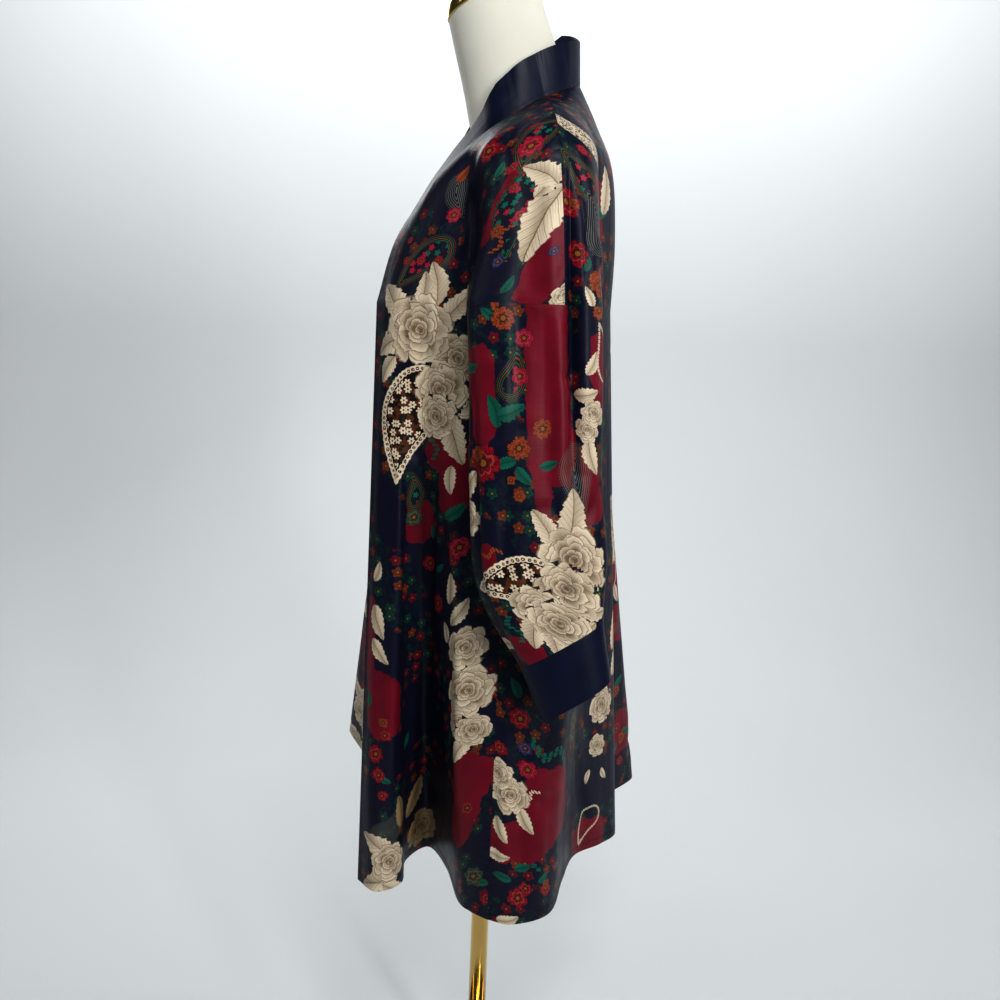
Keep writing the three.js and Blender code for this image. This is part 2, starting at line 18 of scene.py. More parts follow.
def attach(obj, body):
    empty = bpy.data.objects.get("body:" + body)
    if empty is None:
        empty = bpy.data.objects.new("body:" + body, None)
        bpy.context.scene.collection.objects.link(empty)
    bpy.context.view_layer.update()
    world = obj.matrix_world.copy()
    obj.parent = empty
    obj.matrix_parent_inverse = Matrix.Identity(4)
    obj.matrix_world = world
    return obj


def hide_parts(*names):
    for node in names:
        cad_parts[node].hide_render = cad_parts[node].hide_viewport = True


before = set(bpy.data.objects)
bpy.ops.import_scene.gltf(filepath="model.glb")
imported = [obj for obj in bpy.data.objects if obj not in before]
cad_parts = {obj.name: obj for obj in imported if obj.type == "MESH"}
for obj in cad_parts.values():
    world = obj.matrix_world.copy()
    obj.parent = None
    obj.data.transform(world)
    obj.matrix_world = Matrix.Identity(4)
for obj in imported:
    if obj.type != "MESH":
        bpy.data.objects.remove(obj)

MM = 0.001

# The photo's view
PHOTO_PIXELS = 1000
FOCAL_PIXELS = 1000.0
CAMERA_PLACE = (1.400, 0.006, 1.171)
CAMERA_PITCH = math.radians(9.0)
CAMERA_ROLL = math.radians(2.2)

# The robe's cut and how it hangs
HEM_Z = 430
ARMHOLE_Z = 1215
BODY_SIDE = 151.5
BAND_WIDTH = 57
WORN_OFFSET_Y = 6
CLOTH_THICKNESS = 1.0
FOLD_STEPS = 10
ANGLE_STEPS = 4
SKIRT_STEPS = 140
YOKE_STEPS = 60
SLEEVE_STEPS = 96
CUFF_STEPS = 14
BAND_STEPS = 10
UNDERARM_STEPS = 4
FAR_FROM_EDGE = 200.0

# Fold lines: hem x and y, chest x and y, how late the fold opens, how far the hem is lifted
LEFT_FRONT = [
    ("band seam", 118, -176, 88, -168, 1.0, 0),
    ("front lobe", 147, -148, 117, -152, 1.2, 0),
    ("lobe back", 122, -116, 133, -136, 1.3, 0),
    ("fold mouth", 62, -116, 139, -122, 1.3, 0),
    ("fold bottom", 20, -86, 143, -107, 1.3, 0),
    ("fold back", 78, -56, 147, -91, 1.3, 0),
    ("side lobe front", 160, -36, 150, -72, 1.3, 0),
    ("front armhole corner", 186, -18, BODY_SIDE, -50, 1.2, 0),
    ("side seam", 203, 4, BODY_SIDE, 8, 1.2, 0),
]
BACK = [
    LEFT_FRONT[-1],
    ("side lobe crown", 212, 38, BODY_SIDE, 44, 1.2, 0),
    ("back armhole corner", 182, 86, 150, 96, 1.2, 0),
    ("back fold mouth", 99, 107, 139, 112, 1.3, 0),
    ("back fold bottom", 30, 128, 117, 122, 1.3, 0),
    ("middle lobe side", -8, 170, 84, 131, 1.1, 0),
    ("middle lobe", -48, 197, 42, 137, 1.0, 0),
    ("middle hollow", -104, 172, 0, 139, 1.2, 0),
    ("far lobe mouth", -168, 192, -42, 137, 1.1, 0),
    ("far lobe crown", -240, 247, -88, 131, 1.0, 4),
    ("far lobe side", -270, 206, -124, 119, 1.2, 4),
    ("far back fold", -226, 146, -141, 110, 1.4, 0),
    ("far back armhole corner", -262, 96, -150, 96, 1.5, 0),
    ("far side crown", -280, 44, -BODY_SIDE, 44, 1.6, 4),
    ("far side seam", -262, 2, -BODY_SIDE, 8, 1.6, 4),
]
RIGHT_FRONT = [
    BACK[-1],
    ("far front armhole corner", -232, -40, -BODY_SIDE, -50, 1.6, 4),
    ("far front fold", -220, -98, -148, -84, 1.5, 10),
    ("far front lobe side", -286, -180, -141, -116, 1.2, 34),
    ("far front lobe crown", -290, -250, -127, -142, 0.85, 52),
    ("front hollow", -222, -212, -109, -157, 1.1, 26),
    ("far band seam", -150, -203, -88, -168, 1.0, 4),
]
BACK_MIDDLE_FOLD = 7

# Sections of the yoke: rise, inner edge, corner, shoulder seam, depth of the fold
FRONT_YOKE = [
    (0.0, (88, -168, 1215), (208, -96, 1215), (236, 66, 1215), 0),
    (0.3, (90, -146, 1292), (205, -78, 1300), (231, 60, 1312), 17),
    (0.55, (93, -110, 1346), (193, -84, 1386), (206, 52, 1402), 8),
    (0.78, (95, -78, 1380), (140, -56, 1426), (150, 45, 1449), 1),
    (1.0, (95, -50, 1406), (98, -4, 1454), (72, 37, 1478), 0),
]
BACK_YOKE = [
    (0.0, (0, 139, 1215), (190, 146, 1215), (236, 66, 1215), 0),
    (0.3, (0, 140, 1302), (206, 140, 1302), (231, 60, 1312), 14),
    (0.55, (0, 131, 1392), (176, 134, 1386), (206, 52, 1402), 5),
    (0.78, (0, 110, 1456), (130, 106, 1438), (150, 45, 1449), 1),
    (1.0, (0, 85, 1508), (60, 82, 1500), (72, 37, 1478), 0),
]
YOKE_FOLD_AT = {"front": 0.52, "back": 0.5}
YOKE_FOLD_WIDTH = 0.13
YOKE_FOLD_SLANT = 0.35
FAR_NECK_LIFT = 34
NECK_LIFT_FADE = 50

# Sections of the sleeves: z, x, y, half widths along x and y, slope
LEFT_SLEEVE = [
    (1215, 195.5, 32, 41.5, 80, 0),
    (1110, 203, 38, 42, 79, 0),
    (1000, 211, 42, 41, 79, 0.05),
    (900, 217, 54, 40, 77, 0.3),
    (816, 224, 80, 39, 50, 0.62),
    (748, 229, 100, 38, 42, 0.65),
]
RIGHT_SLEEVE = [
    (1215, 195.5, 32, 41.5, 80, 0),
    (1110, 203, 33, 42, 79, 0),
    (1000, 214, 32, 42, 79, 0.05),
    (900, 229, 34, 41, 74, 0.2),
    (812, 247, 42, 40, 56, 0.4),
    (745, 260, 48, 38, 48, 0.42),
]
CUFF_SEAM_ROW = 4
SLEEVE_SQUARENESS = 0.7
# Folds down the sleeve: degrees, width, depth, top, bottom
SLEEVE_FOLDS = [(27, 6.5, 19, 1400, 985), (-8, 7, 6, 1400, 1060), (-62, 9, 7, 1130, 800)]
SLEEVE_FRONT_ANGLES = [-105, -90, -74, -62, -48, -34, -20, -8, 5, 17]
SLEEVE_BACK_ANGLES = [22, 27, 33, 42, 56, 72, 90, 105]
SLEEVE_INNER_ANGLES = [122, 140, 160, 180, 200, 220, 238, 255]
BAND_ACROSS = [(-1, 0.02, 0), (-1, 0.02, 0.02), (-0.76, -0.1, 0.6), (-0.17, -0.24, 0.95), (0, -0.05, 1)]

# The dress form: z, half width, front, back
FORM_BOTTOM_Z = 832
FORM = [
    (FORM_BOTTOM_Z, 120, -66, 72), (838, 141, -86, 90), (862, 151, -98, 104), (920, 153, -105, 112),
    (990, 138, -99, 100), (1060, 118, -92, 86), (1130, 128, -112, 96), (1190, 138, -140, 112),
    (1235, 142, -150, 122), (1285, 150, -140, 127), (1335, 166, -108, 125), (1375, 176, -82, 119),
    (1402, 181, -58, 112), (1422, 173, -41, 104), (1438, 154, -24, 96), (1450, 128, -8, 88),
    (1461, 100, 5, 78), (1473, 74, 14, 65), (1504, 50, -40, 48), (1540, 46, -40, 36),
]
BODY_SQUARENESS = 0.9
NECK = [
    (FORM_BOTTOM_Z, 20, -20, 20), (1335, 44, -34, 84), (1402, 70, -50, 86), (1455, 65.5, -60, 78),
    (1504, 59, -71, 67), (1560, 57, -86, 52),
]
NECK_TOP = {"z": 1610, "y": -35, "half_x": 55, "half_y": 57, "slope": 0.44}
CAP_HEIGHT = 16
CAP_DOME = 9
CAP_OVERHANG = 1.5
STAND_GAP = 0.3
FORM_SIDES = 96
FORM_STEPS = 5
NECK_STEPS = 8
REACH_LIMIT = 400.0
REACH_HALVINGS = 40
JOIN_SHARPNESS = 9
ROUND_SIDES = 96
BASE_RADIUS = 170
BASE_HEIGHT = 12
HUB_RADIUS = 24
HUB_HEIGHT = 26
POLE_RADIUS = 13
POLE_BEVEL = 0.6
METAL_EDGE_DEGREES = 50

log = logging.getLogger("robe")


def srgb(red: int, green: int, blue: int) -> tuple:
    """Turns a colour as seen on a screen into the linear one that shaders take.

    Args:
        red, green, blue: 0 to 255.

    Returns:
        Linear red, green, blue and an alpha of 1.
    """
    def one(value: int) -> float:
        """Turns one channel into light."""
        share = value / 255
        return share / 12.92 if share <= 0.04045 else ((share + 0.055) / 1.055) ** 2.4
    return (one(red), one(green), one(blue), 1.0)


def through(points: list, u: np.ndarray) -> np.ndarray:
    """Reads a smooth curve through equally spaced rows.

    Args:
        points: rows of numbers.
        u: places from 0 to the last row.

    Returns:
        The rows at those places.
    """
    rows = np.asarray(points, float)
    u = np.asarray(u, float)
    last = len(rows) - 1
    i = np.minimum(np.floor(u).astype(int), last - 1)
    t = (u - i)[..., None]
    p1, p2 = rows[i], rows[i + 1]
    p0 = np.where((i > 0)[..., None], rows[np.maximum(i - 1, 0)], 2 * p1 - p2)
    p3 = np.where((i + 2 <= last)[..., None], rows[np.minimum(i + 2, last)], 2 * p2 - p1)
    slope1, slope2 = (p2 - p0) / 2, (p3 - p1) / 2
    return ((2 * t**3 - 3 * t**2 + 1) * p1 + (t**3 - 2 * t**2 + t) * slope1
            + (3 * t**2 - 2 * t**3) * p2 + (t**3 - t**2) * slope2)


def finer(values: list, steps: int) -> np.ndarray:
    """Puts equal steps between the values of a list.

    Args:
        values: numbers in order.
        steps: steps between two of them.

    Returns:
        The longer list.
    """
    places = np.arange((len(values) - 1) * steps + 1) / steps
    return np.interp(places, np.arange(len(values)), values)


def run_lengths(points: np.ndarray) -> np.ndarray:
    """Measures along a line of points.

    Args:
        points: the points, or rows of them along the first axis.

    Returns:
        The length from the first point to each.
    """
    steps = np.linalg.norm(np.diff(points, axis=0), axis=-1)
    return np.concatenate([np.zeros_like(steps[:1]), np.cumsum(steps, axis=0)])


@dataclass
class Grid:
    """Rows of cloth points with their places on the flat cloth."""

    points: np.ndarray
    cloth: np.ndarray
    flip: bool


@dataclass
class Piece:
    """One cut piece of cloth as welded quads."""

    name: str
    grids: list
    points: np.ndarray = field(init=False)
    cloth: np.ndarray = field(init=False)
    quads: np.ndarray = field(init=False)

    def __post_init__(self) -> None:
        """Welds the grids where they meet."""
        points, cloth, quads, start = [], [], [], 0
        for grid in self.grids:
            rows, columns = grid.points.shape[:2]
            number = np.arange(rows * columns).reshape(rows, columns) + start
            quad = np.stack([number[:-1, :-1], number[1:, :-1], number[1:, 1:], number[:-1, 1:]], -1)
            quad = quad.reshape(-1, 4)
            quads.append(quad[:, ::-1] if grid.flip else quad)
            points.append(grid.points.reshape(-1, 3))
            cloth.append(grid.cloth.reshape(-1, 2))
            start += rows * columns
        every = np.vstack(points)
        _, first, same = np.unique(np.round(every, 2), axis=0, return_index=True, return_inverse=True)
        self.points, self.cloth = every[first], np.vstack(cloth)[first]
        self.quads = same.reshape(-1)[np.vstack(quads)]

    def boundary(self) -> np.ndarray:
        """Finds the points on the piece's edges.

        Returns:
            Their numbers.
        """
        edges = np.sort(np.stack([self.quads, np.roll(self.quads, -1, axis=1)], -1).reshape(-1, 2), axis=1)
        pairs, counts = np.unique(edges, axis=0, return_counts=True)
        return np.unique(pairs[counts == 1])

    def area(self) -> float:
        """Adds up the piece's area.

        Returns:
            Square metres.
        """
        a, b, c, d = (self.points[self.quads[:, k]] for k in range(4))
        return float(np.linalg.norm(np.cross(c - a, d - b), axis=1).sum() / 2 * MM * MM)


class Robe:
    """Works out every cut piece of the robe from the tables."""

    def __init__(self) -> None:
        """Makes the fronts, the back, the sleeves with their cuffs and the bands."""
        left = self.front(LEFT_FRONT, False)
        right = self.front(RIGHT_FRONT, True)
        back_grids, necks = self.back(left["yoke"], right["yoke"])
        self.pieces = {
            "front_panel_left": Piece("front_panel_left", left["grids"]),
            "front_panel_right": Piece("front_panel_right", right["grids"]),
            "back_panel": Piece("back_panel", back_grids),
        }
        for side, far in (("left", False), ("right", True)):
            for kind, low, high, steps in (("sleeve", 0, CUFF_SEAM_ROW, SLEEVE_STEPS),
                                           ("cuff", CUFF_SEAM_ROW, CUFF_SEAM_ROW + 1, CUFF_STEPS)):
                name = f"{kind}_{side}"
                self.pieces[name] = Piece(name, [self.tube(far, low, high, steps)])
        self.pieces["band_left"] = Piece("band_left", [self.band(left, necks[0], False)])
        self.pieces["band_right"] = Piece("band_right", [self.band(right, necks[1], True)])
        self.normals = self.shared_normals()

    @staticmethod
    def skirt(table: list) -> np.ndarray:
        """Makes a panel's rows from chest height down to the hem.

        Args:
            table: the panel's fold lines.

        Returns:
            Rows of points.
        """
        numbers = np.array([row[1:] for row in table], float)
        column = through(numbers, np.linspace(0, len(table) - 1, (len(table) - 1) * FOLD_STEPS + 1))
        hem, chest, late, lift = column[:, 0:2], column[:, 2:4], column[:, 4], column[:, 5]
        drop = np.linspace(0, 1, SKIRT_STEPS + 1)[:, None]
        opened = (drop ** late)[..., None]
        across = chest * (1 - opened) + hem * opened
        z = ARMHOLE_Z + (HEM_Z + lift - ARMHOLE_Z) * drop
        return np.concatenate([across, z[..., None]], axis=-1)

    @staticmethod
    def sleeve_points(far: bool, degrees: np.ndarray, place: np.ndarray) -> np.ndarray:
        """Makes points of a sleeve.

        Args:
            far: True for the wearer's right.
            degrees: places round the sleeve.
            place: places down its table, as a column.

        Returns:
            Rows of points.
        """
        z, x, y, half_x, half_y, slope = np.moveaxis(
            through(RIGHT_SLEEVE if far else LEFT_SLEEVE, np.asarray(place, float)), -1, 0)[..., None]
        angle = np.radians(degrees)
        inward = 0.0
        for at, width, depth, top, bottom in SLEEVE_FOLDS:
            fade = np.maximum(0, 1 - ((z - (top + bottom) / 2) / ((top - bottom) / 2)) ** 2)
            inward = inward + depth * fade * np.exp(-((degrees - at) / width) ** 2)
        out_x = np.sign(np.cos(angle)) * np.abs(np.cos(angle)) ** SLEEVE_SQUARENESS
        out_y = np.sign(np.sin(angle)) * np.abs(np.sin(angle)) ** SLEEVE_SQUARENESS
        px = x + (half_x - inward) * out_x
        py = y + (half_y - inward * np.abs(np.sin(angle))) * out_y
        return np.stack([-px if far else px, py, z + slope * (py - y)], -1)

    @staticmethod
    def yoke(front: bool, bottom: np.ndarray, far: bool) -> np.ndarray:
        """Makes the rows over the shoulder above a bottom row, whose own shape fades out.

        Args:
            front: True for the front, False for the back.
            bottom: the row at chest height.
            far: True for the wearer's right.

        Returns:
            Rows of points.
        """
        rows = FRONT_YOKE if front else BACK_YOKE
        lengths = run_lengths(bottom)
        along = (lengths / lengths[-1])[:, None]
        numbers = [(*inner, *corner, *shoulder, fold) for _, inner, corner, shoulder, fold in rows]
        bell = np.exp(-((along[:, 0] - YOKE_FOLD_AT["front" if front else "back"]) / YOKE_FOLD_WIDTH) ** 2)
        side = -1 if far else 1

        def section(place: float) -> np.ndarray:
            """Makes one row.

            Args:
                place: its place in the table.

            Returns:
                Its points.
            """
            row = through(numbers, np.array(place))
            points = (row[0:3] * (1 - along) ** 2 + 2 * row[3:6] * along * (1 - along)
                      + row[6:9] * along ** 2)
            points[:, 0] -= row[9] * bell
            points[:, 1] += row[9] * bell * (YOKE_FOLD_SLANT if front else -YOKE_FOLD_SLANT)
            return points

        flat = section(0.0)
        grid = [bottom]
        for step in range(1, YOKE_STEPS + 1):
            rise = step / YOKE_STEPS
            points = section(float(np.interp(rise, [row[0] for row in rows], np.arange(len(rows)))))
            keep = (1 - rise) ** 2
            if far:
                fade = np.minimum(1, np.abs(points[:, 0]) / NECK_LIFT_FADE)
                points[:, 2] += FAR_NECK_LIFT * rise ** 3 * fade
            points[:, 0] = side * points[:, 0] + keep * (bottom[:, 0] - side * flat[:, 0])
            points[:, 1:] += keep * (bottom[:, 1:] - flat[:, 1:])
            grid.append(points)
        return np.array(grid)

    @staticmethod
    def laid(points: np.ndarray, sign: float, start: np.ndarray, up: bool, flip: bool) -> Grid:
        """Gives a grid its places on the flat cloth, by lengths along rows and columns.

        Args:
            points: rows of points.
            sign: 1 or -1 for the way along a row.
            start: what is taken from each row's lengths.
            up: True if rows go up.
            flip: turns the outside over.

        Returns:
            The grid.
        """
        across = sign * (run_lengths(np.swapaxes(points, 0, 1)).T - start)
        height = run_lengths(points) * (1 if up else -1)
        return Grid(points, np.stack([across, height], -1), flip)

    @staticmethod
    def with_underarm(chest: np.ndarray, lip: np.ndarray) -> np.ndarray:
        """Joins the chest row to the sleeve's lip with steps between.

        Args:
            chest: points of the body.
            lip: points of the sleeve's edge.

        Returns:
            The whole row.
        """
        share = (np.arange(1, UNDERARM_STEPS) / UNDERARM_STEPS)[:, None]
        return np.vstack([chest, chest[-1] * (1 - share) + lip[0] * share, lip])

    def front(self, folds: list, far: bool) -> dict:
        """Makes a front panel.

        Args:
            folds: its fold lines.
            far: True for the wearer's right.

        Returns:
            Its grids, skirt and yoke.
        """
        table = folds[::-1] if far else folds
        skirt = self.skirt(table)
        chest = skirt[0][:(len(table) - 2) * FOLD_STEPS + 1]
        lip = self.sleeve_points(far, finer(SLEEVE_FRONT_ANGLES, ANGLE_STEPS), np.array(0.0))
        yoke = self.yoke(True, self.with_underarm(chest, lip), far)
        zero = np.zeros(1)
        grids = [self.laid(skirt, 1, zero, False, far), self.laid(yoke, 1, zero, True, not far)]
        return {"grids": grids, "skirt": skirt, "yoke": yoke}

    def back(self, left_yoke: np.ndarray, right_yoke: np.ndarray) -> tuple:
        """Makes the back panel, sharing the shoulder seams with the fronts.

        Args:
            left_yoke: the left front's yoke.
            right_yoke: the right front's yoke.

        Returns:
            Its grids, and the neck row of each half.
        """
        skirt = self.skirt(BACK)
        middle = BACK_MIDDLE_FOLD * FOLD_STEPS
        starts = run_lengths(np.swapaxes(skirt, 0, 1)).T[:, middle:middle + 1]
        grids, necks = [self.laid(skirt, 1, starts, False, False)], []
        for far, front_yoke in ((False, left_yoke), (True, right_yoke)):
            corner = (len(BACK) - 3 if far else 2) * FOLD_STEPS
            chest = skirt[0][middle:corner + 1] if far else skirt[0][corner:middle + 1][::-1]
            angles = finer((SLEEVE_FRONT_ANGLES[-1:] + SLEEVE_BACK_ANGLES)[::-1], ANGLE_STEPS)
            bottom = self.with_underarm(chest, self.sleeve_points(far, angles, np.array(0.0)))
            yoke = self.yoke(False, bottom, far)
            yoke[:, -1] = front_yoke[:, -1]
            yoke[:, 0, 0] = bottom[0, 0]
            grids.append(self.laid(yoke, 1 if far else -1, np.zeros(1), True, far))
            necks.append(yoke[-1])
        return grids, necks

    def tube(self, far: bool, low: float, high: float, steps: int) -> Grid:
        """Makes a stretch of a sleeve, all round.

        Args:
            far: True for the wearer's right.
            low, high: places down the sleeve's table.
            steps: rows.

        Returns:
            The grid.
        """
        angles = finer(SLEEVE_FRONT_ANGLES + SLEEVE_BACK_ANGLES + SLEEVE_INNER_ANGLES, ANGLE_STEPS)
        points = self.sleeve_points(far, angles, np.linspace(low, high, steps + 1))
        points[:, -1] = points[:, 0]
        return self.laid(points, 1, np.zeros(1), False, far)

    def band(self, front: dict, neck: np.ndarray, far: bool) -> Grid:
        """Makes one half of the front band and collar.

        Args:
            front: the front panel that it is sewn to.
            neck: the back's neck row on that side.
            far: True for the wearer's right.

        Returns:
            The grid, from the hem to the middle of the back.
        """
        stretches = [front["skirt"][::-1, 0], front["yoke"][1:, 0], front["yoke"][-1][1:], neck[::-1][1:]]
        seam = np.vstack(stretches)
        along = [np.linspace(0, 1, len(stretches[0]))]
        for stretch in (1, 2, 3):
            count = len(stretches[stretch])
            along.append(stretch + np.arange(1, count + 1) / count)
        across = through(BAND_ACROSS, np.concatenate(along))
        across *= BAND_WIDTH / np.linalg.norm(across, axis=1, keepdims=True)
        if far:
            across[:, 0] *= -1
        share = np.linspace(0, 1, BAND_STEPS + 1)[None, :, None]
        return self.laid(seam[:, None] + across[:, None] * share, 1, np.zeros(1), True, far)

    def shared_normals(self) -> dict:
        """Works out outward directions, shared where pieces meet.

        Returns:
            Directions for each piece's points.
        """
        pieces = list(self.pieces.values())
        starts = np.cumsum([0] + [len(piece.points) for piece in pieces])
        points = np.vstack([piece.points for piece in pieces])
        _, same = np.unique(np.round(points, 1), axis=0, return_inverse=True)
        same = same.reshape(-1)
        total = np.zeros((same.max() + 1, 3))
        for piece, start in zip(pieces, starts):
            a, b, c, d = (piece.points[piece.quads[:, k]] for k in range(4))
            normal = np.cross(c - a, d - b)
            for k in range(4):
                np.add.at(total, same[piece.quads[:, k] + start], normal)
        total /= np.maximum(np.linalg.norm(total, axis=1, keepdims=True), 1e-9)
        return {piece.name: total[same[start:start + len(piece.points)]]
                for piece, start in zip(pieces, starts)}

    def edge_distances(self) -> dict:
        """Measures how far each point is from a seam and from a free edge.

        Returns:
            Two numbers for each point of each piece, in millimetres.
        """
        rims = {name: piece.points[piece.boundary()] for name, piece in self.pieces.items()}
        seen: dict = {}
        for name, rim in rims.items():
            for place in map(tuple, np.round(rim, 1)):
                seen.setdefault(place, set()).add(name)
        found = {}
        for name, piece in self.pieces.items():
            shared = np.array([len(seen[place]) > 1 for place in map(tuple, np.round(rims[name], 1))])
            columns = []
            for rim in (rims[name][shared], rims[name][~shared]):
                tree = KDTree(max(1, len(rim)))
                for number, point in enumerate(rim):
                    tree.insert(point, number)
                tree.balance()
                columns.append([tree.find(point)[2] if len(rim) else FAR_FROM_EDGE for point in piece.points])
            found[name] = np.minimum(np.array(columns).T, FAR_FROM_EDGE)
        return found


def photo_axes() -> tuple:
    """Works out the photo camera's axes.

    Returns:
        Right, up and view directions.
    """
    view = np.array([-math.cos(CAMERA_PITCH), 0, -math.sin(CAMERA_PITCH)])
    level, up = np.array([0.0, 1, 0]), np.array([-math.sin(CAMERA_PITCH), 0, math.cos(CAMERA_PITCH)])
    right = level * math.cos(CAMERA_ROLL) + up * math.sin(CAMERA_ROLL)
    return right, up * math.cos(CAMERA_ROLL) - level * math.sin(CAMERA_ROLL), view


def seen_at(points: np.ndarray) -> np.ndarray:
    """Works out where points would be in the photo.

    Args:
        points: places in metres.

    Returns:
        Pixel column, pixel row and depth of each.
    """
    right, up, view = photo_axes()
    away = points - np.array(CAMERA_PLACE)
    depth = away @ view
    half = PHOTO_PIXELS / 2
    return np.stack([half + FOCAL_PIXELS * (away @ right) / depth,
                     half - FOCAL_PIXELS * (away @ up) / depth, depth], -1)


class Kind(Enum):
    """The print's motifs."""

    PEONY = 1
    LEAF = 2
    FLOWER = 3
    DAISY_PAISLEY = 4
    FEATHER_PAISLEY = 5
    LOOP = 6
    VINE = 7
    LACE = 8


class Tone(Enum):
    """The colourings that a motif comes in."""

    IVORY = 0
    TAN = 1
    RED = 2
    PINK = 3
    ORANGE = 4
    BLUE = 5
    TEAL = 6
    MOSS = 7
    GREY = 8


IVORY_LEAF, TEAL_LEAF = (Kind.LEAF, Tone.IVORY), (Kind.LEAF, Tone.TEAL)
BIG_KINDS = (Kind.DAISY_PAISLEY, Kind.LOOP, Kind.LACE)
# What each layer of the print can hold, lowest first
LAYER_KINDS = (
    (Kind.FEATHER_PAISLEY, Kind.VINE),
    (Kind.LEAF, Kind.FLOWER),
    (Kind.LACE, Kind.LOOP, Kind.DAISY_PAISLEY, Kind.LEAF),
    (Kind.LEAF, Kind.PEONY),
    (Kind.PEONY,),
)
PRINT_LAYERS = len(LAYER_KINDS)
PAISLEYS = (Kind.DAISY_PAISLEY, Kind.FEATHER_PAISLEY, Kind.LOOP)
PAISLEY_WIDTH = 0.66
PAISLEY_BEND = 0.42
LEAF_WIDTH = 0.52
LEAF_ROUND = 0.72
LEAF_BASE = 0.28


@dataclass(frozen=True)
class Motif:
    """One motif of the print: its kind, colouring, place, half length in mm and turn in degrees."""

    kind: Kind
    tone: Tone
    place: tuple
    size: float
    turn: float = 0.0

    @property
    def layers(self) -> tuple:
        """Tells which layers it may be printed in. Higher ones lie over lower ones.

        Returns:
            Their numbers, best first.
        """
        if self.kind is Kind.PEONY:
            return (4, 3)
        if self.kind in BIG_KINDS:
            return (2,)
        if self.kind is Kind.LEAF and self.tone in (Tone.IVORY, Tone.TAN):
            return (2, 3)
        return (1,) if self.kind in (Kind.LEAF, Kind.FLOWER) else (0,)


def motifs(kind: Kind, tone: Tone, rows: list) -> list:
    """Makes motifs of one kind and colouring.

    Args:
        kind, tone: what they are.
        rows: column and row in the photo, half length in mm, turn in degrees.

    Returns:
        The motifs.
    """
    return [Motif(kind, tone, (column, row), size, turn) for column, row, size, turn in rows]


